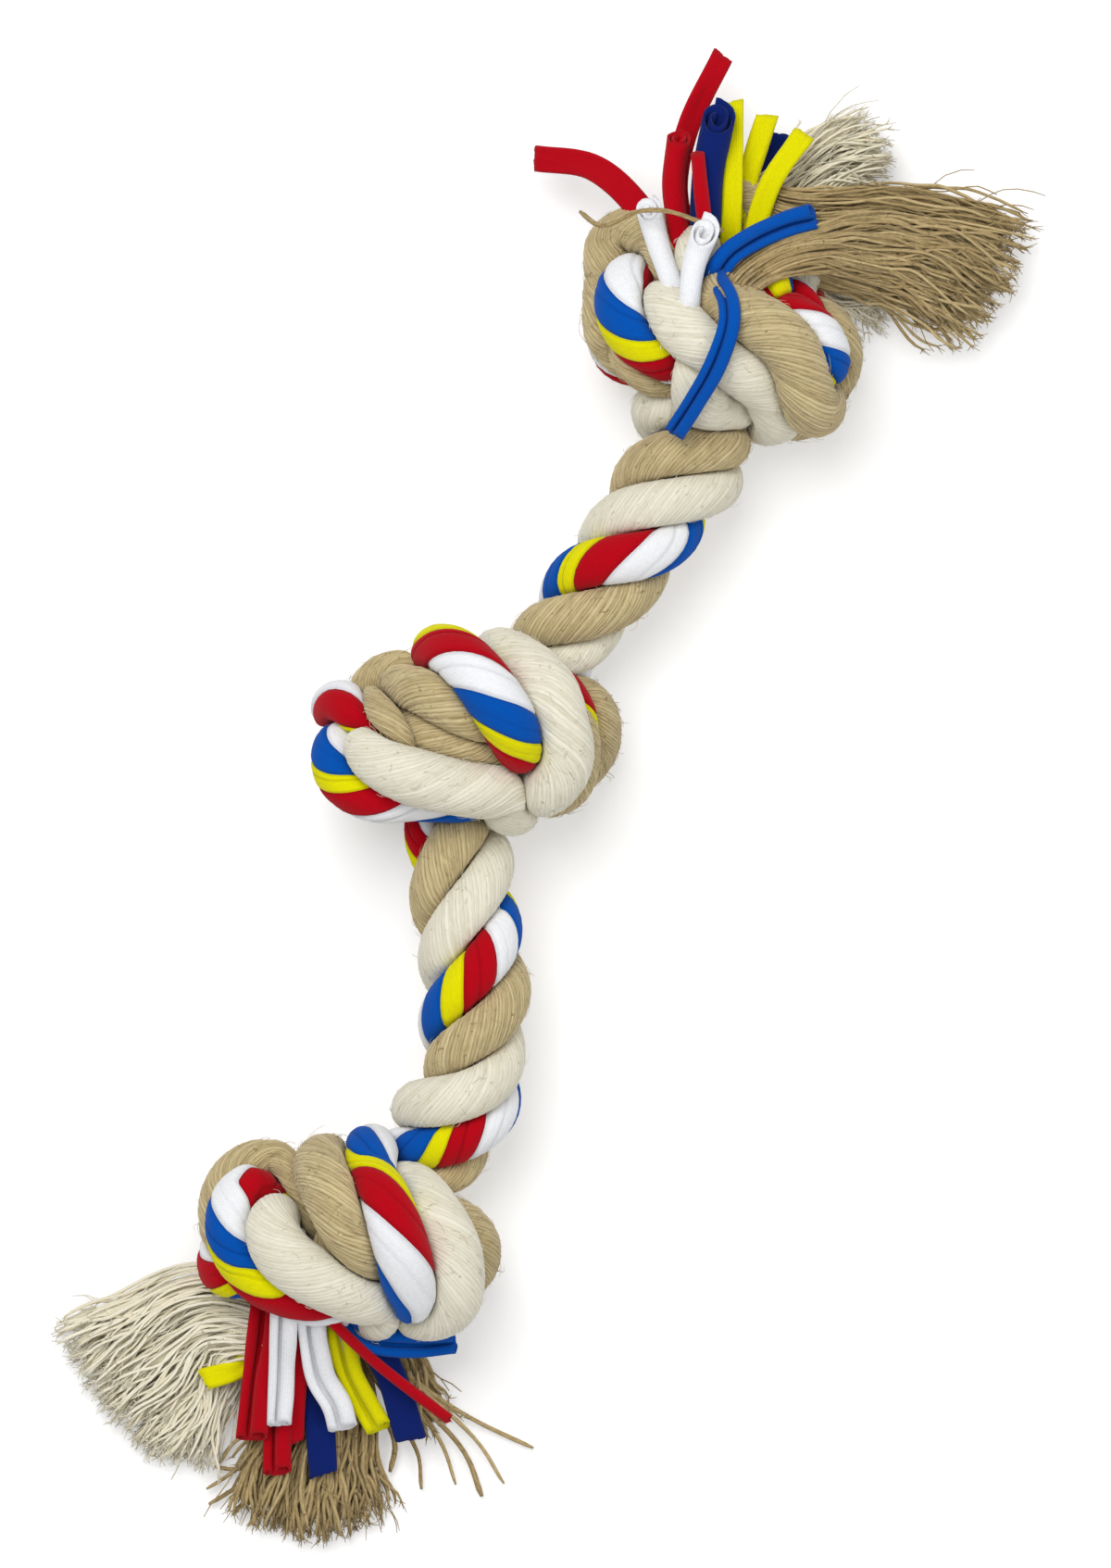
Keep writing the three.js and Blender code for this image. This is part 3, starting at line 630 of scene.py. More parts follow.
class MeshBatch:
    """Tubes in one mesh, with a map along and round them, a tone, and a height for painted shade."""

    def __init__(self) -> None:
        """Start with nothing."""
        self.points: list[Array] = []
        self.quads: list[Array] = []
        self.maps: list[Array] = []
        self.tones: list[Array] = []
        self.crowns: list[Array] = []
        self.caps: list[Array] = []
        self.cap_maps: list[Array] = []
        self.count = 0

    def tube(self, rings: Array, along: Array, tone: Array | float = 0.5,
             crown: Array | float = 1.0) -> None:
        """Add a closed tube.

        Args:
            rings: Points, ring by ring, in millimetres.
            along: The length at each ring.
            tone: Light or dark, for each point or for all.
            crown: High or low, for each point or for all; low places get painted shade.
        """
        rows, sides = rings.shape[:2]
        ring = np.arange(rows - 1)[:, None] * sides
        side = np.arange(sides)[None]
        after = (side + 1) % sides
        base = self.count
        quads = np.stack([ring + side, ring + after, ring + after + sides, ring + side + sides], axis=-1)
        self.quads.append(quads.reshape(-1, 4) + base)
        low, high = np.broadcast_arrays(along[:-1, None], along[1:, None])
        u0, u1 = np.repeat(low, sides, 1), np.repeat(high, sides, 1)
        v0 = np.repeat(side / sides, rows - 1, 0)
        v1 = np.repeat((side + 1) / sides, rows - 1, 0)
        corners = [np.stack(pair, axis=-1) for pair in ((u0, v0), (u0, v1), (u1, v1), (u1, v0))]
        self.maps.append(np.stack(corners, axis=2).reshape(-1, 2))
        start = base + np.arange(sides)[::-1]
        stop = base + (rows - 1) * sides + np.arange(sides)
        self.caps.extend([start, stop])
        turn = np.arange(sides) / sides
        self.cap_maps.append(np.stack([np.full(sides, along[0]), turn[::-1]], axis=1))
        self.cap_maps.append(np.stack([np.full(sides, along[-1]), turn], axis=1))
        self.points.append(rings.reshape(-1, 3))
        self.tones.append(np.broadcast_to(np.asarray(tone, float), (rows, sides)).reshape(-1))
        self.crowns.append(np.broadcast_to(np.asarray(crown, float), (rows, sides)).reshape(-1))
        self.count += rows * sides

    def thread(self, line: Array, radius: Array, sides: int, tone: float, start: float = 0.0) -> None:
        """Add a thin round tube along a line.

        Args:
            line: The middle of the tube.
            radius: Its radius at each point.
            sides: Sides of each ring.
            tone: Light or dark.
            start: The length that its map starts at.
        """
        first = np.cross(tangents_of(line[:2])[0], NEARLY_UP)
        _, normals, binormals = frames_of(line, unit(first))
        angle = np.arange(sides) * TURN / sides
        around = swung(normals[:, None], binormals[:, None], angle[None])
        rings = line[:, None] + around * radius[:, None, None]
        self.tube(rings, start + run_lengths(line), tone)

    def build(self, name: str) -> Object:
        """Write the mesh and its object.

        Args:
            name: The piece's name.

        Returns:
            The new object, linked to the scene.
        """
        points = np.vstack(self.points) * MM
        points[:, 2] = np.maximum(points[:, 2], 0.0)
        quads = np.vstack(self.quads)
        loops = np.concatenate([quads.reshape(-1), *self.caps])
        sizes = np.concatenate([np.full(len(quads), 4), [len(cap) for cap in self.caps]])
        starts = np.concatenate([[0], np.cumsum(sizes)[:-1]]).astype(np.int32)
        mesh = bpy.data.meshes.new(name)
        mesh.vertices.add(len(points))
        mesh.vertices.foreach_set("co", points.astype(np.float32).reshape(-1))
        mesh.loops.add(len(loops))
        mesh.loops.foreach_set("vertex_index", loops.astype(np.int32))
        mesh.polygons.add(len(sizes))
        mesh.polygons.foreach_set("loop_start", starts)
        mesh.polygons.foreach_set("use_smooth", np.arange(len(sizes)) < len(quads))
        layer = mesh.uv_layers.new(name=LAY_MAP)
        lay = np.vstack([*self.maps, *self.cap_maps]).astype(np.float32)
        layer.data.foreach_set("uv", lay.reshape(-1))
        for label, values in ((TONE, self.tones), (CROWN, self.crowns)):
            attribute = mesh.attributes.new(label, "FLOAT", "POINT")
            attribute.data.foreach_set("value", np.concatenate(values).astype(np.float32))
        mesh.update(calc_edges=True)
        mesh.validate()
        return linked(name, mesh)


@dataclass(frozen=True)
class StrandFinish:
    """How the surface of one strand is made up, in millimetres."""

    yarns: int
    per_yarn: int
    relief: float
    twist_pitch: float
    drift: float
    hairs: int
    hair_length: Pair
    hair_rise: float
    seed: int


STRAND_FINISHES = {
    Strand.JUTE: StrandFinish(38, 4, 0.4, 62.0, 0.5, 1350, (2.5, 8.0), 1.3, 11),
    Strand.COTTON: StrandFinish(34, 4, 0.18, 62.0, 0.4, 1200, (1.5, 5.0), 0.9, 23),
    Strand.CLOTH: StrandFinish(4, 26, 1.0, 66.0, 0.12, 0, (0.0, 0.0), 0.0, 37),
}
YARN_UNEVEN = 0.35
HAIR_RUN = 600.0


@dataclass(frozen=True)
class LooseFibre:
    """How a loose fibre stands off a strand or a yarn's tip."""

    margin: int = 4
    swing: Pair = (-0.7, 0.7)
    side_bend: float = 0.3
    points: int = 4
    sides: int = 3
    rise_share: float = 0.3
    least_rise: float = 0.1
    high_share: float = 0.08
    high_rise: float = 3.0
    arch: float = 2.2
    radius: Pair = (0.13, 0.06)
    tones: Pair = (0.6, 1.0)


@dataclass(frozen=True)
class StripeRelief:
    """How the strips of the cloth strand stand out, in shares of their width and height."""

    border: Pair = (-0.10, 0.16)
    fold_sway: float = 0.22
    fold_rings: int = 20
    crease: float = 0.045
    depth: tuple[float, float, float] = (0.3, 0.5, 0.6)
    depth_rings: int = 26
    sway: float = 0.02
    sway_rings: int = 16


FIBRE = LooseFibre()
RELIEF = StripeRelief()

# Shares of the cloth strand's girth that its strips take, in their order round it
STRIPE_SHARES = [(Colour.YELLOW, 0.17), (Colour.BLUE, 0.24), (Colour.WHITE, 0.30), (Colour.RED, 0.29)]
STRIPE_ORDER = [colour for colour, _ in STRIPE_SHARES]
STRIPE_EDGES = np.concatenate([[0.0], np.cumsum([share for _, share in STRIPE_SHARES])])


@dataclass(frozen=True)
class StripeMark:
    """A place seen from above where one colour of the cloth strand shows."""

    colour: Colour
    x: float
    y: float


# Where the cloth strand shows, in order along it: a first colour, and places of it and the next ones
STRIPE_RUNS = [
    (Colour.RED, ((76, 134.7), (68.3, 140.7), (62.7, 148), (60, 156.7), (63.3, 166))),
    (Colour.RED, ((120.7, 122.7), (133.3, 130.7), (135, 138.3), (126.7, 146.7), (113.3, 152.7))),
    (Colour.BLUE, ((105, 125), (96.7, 123.3), (85, 120))),
    (Colour.YELLOW, ((88.3, 83.3), (83.3, 80), (73.3, 75), (53.3, 70), (41.7, 66.7), (35, 63.3))),
    (Colour.WHITE, ((40, 28.3), (35, 28.3))),
    (Colour.WHITE, ((-13.3, -23.3), (-30, -20), (-41.7, -16.7), (-45, -10), (-43.3, -3.3), (-30, 6))),
    (Colour.RED, ((23.3, -6.7), (21.7, 0), (15, 10), (6.7, 21.7), (-3.3, 31.7))),
    (Colour.WHITE, ((-10, -28.3), (-15, -35))),
    (Colour.BLUE, ((18.3, -61.7), (13.3, -70), (6.7, -83.3), (-1, -95), (-6.7, -105))),
    (Colour.WHITE, ((8.3, -145), (0, -151.7), (-10, -155), (-20, -156))),
    (Colour.RED, ((-53.3, -200), (-75, -193.3), (-85, -180), (-83.3, -168.3), (-70, -155))),
    (Colour.YELLOW, ((-25, -197.7), (-19.7, -200), (-19.7, -186), (-24.3, -165.3), (-30, -155),
                     (-34.7, -152))),
]
STRIPE_MARKS = [
    StripeMark(STRIPE_ORDER[(STRIPE_ORDER.index(first) + number) % len(STRIPE_ORDER)], x, y)
    for first, places in STRIPE_RUNS
    for number, (x, y) in enumerate(places)
]


@dataclass
class StrandSurface:
    """The skin of one strand, pressed against its neighbours, with its yarns or strips."""

    order: int
    strand: Strand
    rope: Rope
    fine: float = 2.0
    divisions: int = 4
    directions: int = 72
    swell: float = 1.08
    gap: float = 0.8
    neighbour_reach: float = 36.0
    least: float = 2.0
    bend_share: float = 0.8
    facing_limit: float = 0.02
    mark_height: float = 0.2
    mark_space: float = 4.0
    mark_aside: float = 0.85
    twist_rounds: int = 12
    end_step: float = 0.06
    widest_step: float = 4.2
    bend_step: float = 1.8
    bend_stride: int = 2
    round_passes: int = 6
    along_passes: int = 3
    drift_rings: int = 14
    lift_rings: int = 18
    crest_power: float = 0.7
    crest_lift: float = 0.45
    warp_shares: Pair = (0.4, 0.6)
    full_reach: float = 7.0
    least_relief: float = 0.3
    shade_share: float = 0.4
    painted_lift_light: float = 0.22

    def line(self) -> Array:
        """Close points along the strand's middle line."""
        steps = len(self.rope.points) * self.divisions
        return SmoothCurve(self.rope.lines[self.order], steps).spaced(self.fine)

    def prepare(self, clouds: list[tuple[Array, Array]]) -> None:
        """Work out the skin's reach in every direction along the strand.

        Args:
            clouds: Points and radii of all three strands.
        """
        self.points, self.radius = clouds[self.order]
        self.tangents, self.normals, self.binormals = frames_of(self.points, UP)
        self.along = run_lengths(self.points)
        angle = np.arange(self.directions) * TURN / self.directions
        cloud = np.vstack([points for points, _ in clouds])
        radii = np.concatenate([radius for _, radius in clouds])
        owner = np.repeat(np.arange(len(clouds)), [len(points) for points, _ in clouds])
        number = np.concatenate([np.arange(len(points)) for points, _ in clouds])
        apart = self.rope.sizes.self_span / self.fine
        stride = self.bend_stride
        reach = np.empty((len(self.points), self.directions))
        for k, centre in enumerate(self.points):
            way = swung(self.normals[k], self.binormals[k], angle)
            before = self.points[max(k - stride, 0)]
            after = self.points[min(k + stride, len(self.points) - 1)]
            span = norm(after - before) / 2
            inward = way @ ((before + after - 2 * centre) / (span * span))
            limit = np.full(self.directions, self.swell * self.radius[k])
            limit = np.minimum(limit, self.bend_share / np.maximum(inward, SMALL))
            gap = cloud - centre
            distance = norm(gap, axis=1)
            near = distance < self.neighbour_reach
            near &= (owner != self.order) | (np.abs(number - k) > apart)
            if near.any():
                space = distance[near]
                facing = (way @ gap[near].T) / space
                plane = (space**2 + self.radius[k] ** 2 - radii[near] ** 2) / (2 * space) - self.gap / 2
                faced = np.maximum(facing, self.facing_limit)
                bound = np.where(facing > self.facing_limit, plane / faced, np.inf)
                limit = np.minimum(limit, bound.min(axis=1))
            reach[k] = np.maximum(limit, self.least)
        self.reach = self._softened(reach)
        self.twist = self._twist()

    def _twist(self) -> Array:
        """How far the yarns or strips have turned round the strand, ring by ring.

        Returns:
            Angles in radians.
        """
        rate = TURN / STRAND_FINISHES[self.strand].twist_pitch
        if self.strand is not Strand.CLOTH:
            return rate * self.along
        middles = dict(zip(STRIPE_ORDER, (STRIPE_EDGES[:-1] + STRIPE_EDGES[1:]) / 2))
        rows = self._marked_rows()
        known: list[float] = []
        for mark, row in zip(STRIPE_MARKS, rows):
            target = TURN * middles[mark.colour] - self._facing_angle(mark, row)
            expected = rate * self.along[row]
            if known:
                expected = known[-1] + rate * (self.along[row] - self.along[rows[len(known) - 1]])
            known.append(target + TURN * round((expected - target) / TURN))
        inside = np.interp(self.along, self.along[rows], known)
        before = np.minimum(self.along - self.along[rows[0]], 0.0)
        after = np.maximum(self.along - self.along[rows[-1]], 0.0)
        twist = inside + rate * (before + after)
        for _ in range(self.twist_rounds):
            twist[1:-1] = (twist[:-2] + 2 * twist[1:-1] + twist[2:]) / 4
        return twist

    def _facing_angle(self, mark: StripeMark, row: int) -> float:
        """Find the angle round a ring at which a place seen from above lies on it.

        Args:
            mark: The place.
            row: The ring's number.

        Returns:
            The angle in radians.
        """
        level = np.array([mark.x, mark.y, self.points[row, 2]]) - self.points[row]
        aside = level - self.tangents[row] * (level @ self.tangents[row])
        share = min(norm(aside) / self.radius[row], self.mark_aside)
        upward = unit(UP - self.tangents[row] * self.tangents[row, 2])
        way = unit(aside) * share + upward * math.sqrt(1 - share**2)
        return math.atan2(way @ self.binormals[row], way @ self.normals[row])

    def _marked_rows(self) -> Array:
        """The rings that the marks lie on, in order along the strand.

        Returns:
            Ring numbers, each after the one before.
        """
        space = round(self.mark_space / self.fine)
        total = len(self.points)
        cost = np.array([np.hypot(self.points[:, 0] - mark.x, self.points[:, 1] - mark.y)
                         for mark in STRIPE_MARKS])
        cost += self.mark_height * (self.points[:, 2].max() - self.points[:, 2])
        best = cost[0].copy()
        choices = []
        for row in cost[1:]:
            lowest = np.minimum.accumulate(best)
            first = np.maximum.accumulate(np.where(best <= lowest, np.arange(total), 0))
            choices.append(first)
            best = row + np.concatenate([np.full(space, np.inf), lowest[:-space]])
        rows = [int(best.argmin())]
        for first in reversed(choices):
            rows.append(int(first[rows[-1] - space]))
        return np.array(rows[::-1])

    def _softened(self, reach: Array) -> Array:
        """Round the edges that the planes between strands leave.

        Args:
            reach: Reaches by ring and direction.

        Returns:
            The same, smoothed round and along the strand.
        """
        for _ in range(self.round_passes):
            reach = (np.roll(reach, 1, 1) + 2 * reach + np.roll(reach, -1, 1)) / 4
        for _ in range(self.along_passes):
            padded = np.vstack([reach[:1], reach, reach[-1:]])
            reach = (padded[:-2] + 2 * padded[1:-1] + padded[2:]) / 4
        return reach

    def ring_reach(self, first: int, last: int, angle: Array) -> Array:
        """Reaches at given angles.

        Args:
            first: First ring.
            last: Ring after the last.
            angle: Angles by ring and side.

        Returns:
            Reaches by ring and side.
        """
        at = (angle / TURN * self.directions) % self.directions
        low = at.astype(int) % self.directions
        high = (low + 1) % self.directions
        share = at - np.floor(at)
        rows = np.arange(first, last)[:, None]
        return self.reach[rows, low] * (1 - share) + self.reach[rows, high] * share

    def build(self, name: str, first: int, last: int) -> tuple[Object, Array]:
        """Build the strand between two rings.

        Args:
            name: The piece's name.
            first: First ring.
            last: Ring after the last.

        Returns:
            The new object and its middle line in metres.
        """
        finish = STRAND_FINISHES[self.strand]
        rng = np.random.default_rng(finish.seed)
        sides = finish.yarns * finish.per_yarn
        total = len(self.points)
        turn = np.arange(sides) / sides
        fraction = (np.arange(sides) % finish.per_yarn) / finish.per_yarn
        drift, lift = (
            np.repeat(wander(rng, total, total // rings, finish.yarns).T, finish.per_yarn, axis=1)
            for rings in (self.drift_rings, self.lift_rings))
        shade = np.repeat(rng.uniform(0.0, 1.0, finish.yarns), finish.per_yarn)
        if self.strand is Strand.CLOTH:
            profile, warp = self._strip_profile(rng, total, sides)
        else:
            widths = 1 + YARN_UNEVEN * rng.uniform(-1.0, 1.0, finish.yarns)
            starts = np.concatenate([[0.0], np.cumsum(widths)[:-1]]) / widths.sum()
            spans = widths / widths.sum()
            turn = np.repeat(starts, finish.per_yarn) + fraction * np.repeat(spans, finish.per_yarn)
            crest = np.sin(math.pi * fraction)
            profile = crest**self.crest_power + self.crest_lift * lift * crest
            least, more = self.warp_shares
            warp = drift * finish.drift / finish.yarns * (least + more * crest)
        angle = TURN * (turn[None] + warp) - self.twist[:, None]
        before, after = max(first - 1, 0), min(last + 1, total)
        rows = slice(before, after)
        reach = self.ring_reach(before, after, angle[rows])
        depth = finish.relief * np.clip(reach / self.full_reach, self.least_relief, 1.0)
        reach = reach - depth * (1 - profile[rows])
        way = swung(self.normals[rows, None], self.binormals[rows, None], angle[rows])
        rings = self.points[rows, None] + way * reach[..., None]
        # Random tone by yarn, plus painted light on raised yarns and painted shade on sunken ones
        tone = 0.5 + self.shade_share * (shade - 0.5) + self.painted_lift_light * lift[rows]
        tone = np.clip(tone, 0.0, 1.0)
        # Height across each yarn or strip; materials paint shade where it is low, as between strips and
        # in creases
        crown = np.clip(profile[rows], 0.0, 1.0)
        at = self._ring_places(rings, first - before, last - 1 - before)
        batch = MeshBatch()
        batch.tube(*(self._between(values, at) for values in (rings, self.along[rows], tone, crown)))
        kept = slice(first - before, last - before)
        self._add_hairs(batch, rings[kept], way[kept], first, np.random.default_rng(finish.seed + first))
        return batch.build(name), self.points[first:last] * MM

    def _ring_places(self, rings: Array, first: int, last: int) -> Array:
        """Choose ring places from cut to cut, closer next to the cuts and round a sharp bend.

        Args:
            rings: Points by ring and side.
            first: The ring at the first cut.
            last: The ring at the second cut.

        Returns:
            Places in rings, so that the lengths meet smoothly and bends stay round.
        """
        apart = norm(np.diff(rings, axis=0), axis=2).max(axis=1)
        places = [np.array([first, first + self.end_step])]
        for ring in range(first, last):
            parts = 1 if apart[ring] < self.widest_step else math.ceil(apart[ring] / self.bend_step)
            places.append(ring + np.arange(1, parts + 1) / parts)
        places[-1] = places[-1][:-1]
        places.append(np.array([last - self.end_step, last]))
        return np.concatenate(places)

    def _between(self, values: Array, at: Array) -> Array:
        """Values between rings, on a smooth curve through them.

        Args:
            values: Numbers or points, ring by ring.
            at: Places in rings.

        Returns:
            The values there.
        """
        index = np.minimum(at.astype(int), len(values) - 2)
        shape = (-1,) + (1,) * (values.ndim - 1)
        t = (at - index).reshape(shape)
        p0, p1 = values[np.maximum(index - 1, 0)], values[index]
        p2, p3 = values[index + 1], values[np.minimum(index + 2, len(values) - 1)]
        slope = (p2 - p0) / 2
        bend = p0 - 2.5 * p1 + 2 * p2 - 0.5 * p3
        twist = 1.5 * (p1 - p2) + (p3 - p0) / 2
        return p1 + t * (slope + t * (bend + t * twist))

    def _strip_profile(self, rng: Generator, total: int, sides: int) -> tuple[Array, Array]:
        """The relief of the cloth strand: strips side by side, each with a soft fold.

        Args:
            rng: The source of numbers.
            total: Rings along the whole strand.
            sides: Points round it.

        Returns:
            Heights and angle shifts by ring and side.
        """
        turn = np.arange(sides) / sides
        heights = np.ones((total, sides))
        mean, change, most = RELIEF.depth
        for start, stop in zip(STRIPE_EDGES, STRIPE_EDGES[1:]):
            inside = (turn >= start - TINY) & (turn < stop - TINY)
            share = (turn[inside] - start) / (stop - start)
            border = np.minimum(share, 1 - share)
            heights[:, inside] = smoothstep(border, *RELIEF.border)
            fold = 0.5 + RELIEF.fold_sway * wander(rng, total, total // RELIEF.fold_rings)[0]
            crease = np.exp(-(((share[None] - fold[:, None]) / RELIEF.crease) ** 2))
            strength = mean + change * wander(rng, total, total // RELIEF.depth_rings)[0]
            strength = np.clip(strength, 0.0, most)
            heights[:, inside] -= crease * strength[:, None]
        waves = wander(rng, total, total // RELIEF.sway_rings, len(STRIPE_SHARES)).T
        phase = np.interp(turn, np.append(STRIPE_EDGES[:-1], 1.0), np.arange(len(STRIPE_SHARES) + 1))
        low = phase.astype(int) % len(STRIPE_SHARES)
        high = (low + 1) % len(STRIPE_SHARES)
        mix = phase - np.floor(phase)
        warp = RELIEF.sway * (waves[:, low] * (1 - mix) + waves[:, high] * mix)
        return heights, warp

    def _add_hairs(self, batch: MeshBatch, rings: Array, way: Array, first: int, rng: Generator) -> None:
        """Add loose fibres that stand a little off the strand.

        Args:
            batch: The mesh to add to.
            rings: The strand's rings.
            way: Outward directions by ring and side.
            first: First ring's number.
            rng: The source of numbers.
        """
        finish = STRAND_FINISHES[self.strand]
        rows, sides = rings.shape[:2]
        count = round(finish.hairs * rows * self.fine / HAIR_RUN)
        for _ in range(count):
            k = int(rng.integers(FIBRE.margin, rows - FIBRE.margin))
            side = int(rng.integers(0, sides))
            root = rings[k, side]
            out = way[k, side]
            tangent = self.tangents[first + k]
            across = np.cross(tangent, out)
            swing = rng.normal(*FIBRE.swing)
            length = rng.uniform(*finish.hair_length)
            along = tangent * math.cos(swing) + across * math.sin(swing)
            along *= 1 if rng.random() < 0.5 else -1
            side_bend = np.cross(along, out) * rng.normal(0.0, FIBRE.side_bend)
            share = np.linspace(0.0, 1.0, FIBRE.points)[:, None]
            rise = min(finish.hair_rise, FIBRE.rise_share * length) * rng.uniform(FIBRE.least_rise, 1.0)
            rise *= FIBRE.high_rise if rng.random() < FIBRE.high_share else 1.0
            line = root + along * length * share + side_bend * length * share**2
            line = line + out * rise * np.sin(share * FIBRE.arch)
            line = line - out * (length * share * math.sin(swing)) ** 2 / SIZES.strand
            radius = np.linspace(*FIBRE.radius, FIBRE.points)
            batch.thread(line, radius, FIBRE.sides, float(rng.uniform(*FIBRE.tones)))


# Cloth strips of the tassels: name, colour, width, how it has curled, its tilt in degrees, and its route
STRIPS = {
    "upper": [
        ("red_long", Colour.RED, 8.6, Section.FLAT, 0,
         ((82, 172, 44), (77, 200, 40), (82, 223, 33), (94, 248, 24))),
        ("red_left", Colour.RED, 9.6, Section.FLAT, 0,
         ((74, 172, 50), (64, 191, 46), (47, 207, 34), (26, 211, 22))),
        ("red_rolled", Colour.RED, 9.4, Section.ROLL, 0, ((78, 174, 57), (75, 200, 54), (77, 217, 46))),
        ("red_narrow", Colour.RED, 6, Section.ROLL, 60, ((87, 180, 66), (85, 198, 64), (84, 211, 58))),
        ("navy_rolled", Colour.NAVY, 13, Section.ROLL, 0,
         ((86, 178, 54), (87, 203, 52), (91, 224, 44))),
        ("navy_rear", Colour.NAVY, 8.4, Section.FLAT, 0,
         ((102, 182, 24), (110, 206, 19), (116, 220, 14))),
        ("blue_right", Colour.BLUE, 8.8, Section.SCROLL, 0,
         ((93, 166, 68), (97, 172, 70), (106, 178, 65), (117, 183, 58), (127, 186, 51))),
        ("blue_hanging", Colour.BLUE, 7.8, Section.SCROLL, 0,
         ((90, 163, 71), (93, 156, 83), (93, 148, 87), (88, 134, 84), (80, 120, 75), (74, 111, 67))),
        ("yellow_left", Colour.YELLOW, 8, Section.FLAT, 0,
         ((96, 180, 52), (97, 206, 48), (97, 230, 40))),
        ("yellow_middle", Colour.YELLOW, 8, Section.FLAT, 0,
         ((98, 182, 42), (103, 204, 38), (110, 226, 30))),
        ("yellow_right", Colour.YELLOW, 8, Section.FLAT, 0,
         ((104, 181, 48), (111, 201, 44), (123, 219, 36))),
        ("white_curl", Colour.WHITE, 9.2, Section.ROLL, 40,
         ((75, 162, 69), (70, 176, 64), (66, 191, 53))),
        ("white_rolled", Colour.WHITE, 10, Section.ROLL, -30,
         ((80.5, 157, 77), (82, 170, 75), (86, 182, 69))),
    ],
    "lower": [
        ("red_wide", Colour.RED, 12.6, Section.SCROLL, 0,
         ((-74, -204, 40), (-77, -227, 30), (-80, -252, 22))),
        ("red_middle", Colour.RED, 10.4, Section.SCROLL, 0,
         ((-69, -206, 34), (-70, -233, 25), (-70.5, -265, 18))),
        ("red_rear", Colour.RED, 8, Section.FLAT, 0,
         ((-60, -205, 41), (-60, -228, 33), (-62, -254, 20))),
        ("red_narrow", Colour.RED, 4.8, Section.ROLL, 0,
         ((-48, -207, 54), (-32, -223, 42), (-5, -245, 26))),
        ("white_left", Colour.WHITE, 10, Section.SCROLL, 0,
         ((-67, -203, 50), (-68, -227, 38), (-69, -247, 29))),
        ("white_right", Colour.WHITE, 10.8, Section.SCROLL, 0,
         ((-58, -203, 50), (-56.5, -218, 42), (-54, -231, 36), (-48.5, -241, 32), (-46.5, -249, 28))),
        ("yellow_tab", Colour.YELLOW, 8, Section.FLAT, 0,
         ((-70, -210, 26), (-80, -226, 25), (-94, -231, 23))),
        ("yellow_right", Colour.YELLOW, 10, Section.SCROLL, 0,
         ((-47, -211, 40), (-44.5, -226, 31), (-39, -239, 25), (-33, -250, 21))),
        ("navy", Colour.NAVY, 11, Section.FLAT, 0, ((-52, -214, 28), (-52, -243, 21), (-51, -266, 17))),
        ("blue_middle", Colour.NAVY, 11.4, Section.FLAT, 0,
         ((-36, -210, 38), (-26, -230, 26), (-19, -253, 18))),
        ("blue_right", Colour.BLUE, 11.6, Section.SCROLL, 0,
         ((-48, -206, 50), (-36, -217, 44), (-20, -220, 38), (-3, -219, 30))),
    ],
}
STRIP_SEEDS = {"upper": 200, "lower": 250}

# How far some tips of the upper tassel bend up
TIP_LIFTS = {
    "white_curl": 9.0, "white_rolled": 8.0, "navy_rolled": 8.0, "red_rolled": 4.0,
    "blue_right": 3.0,
}


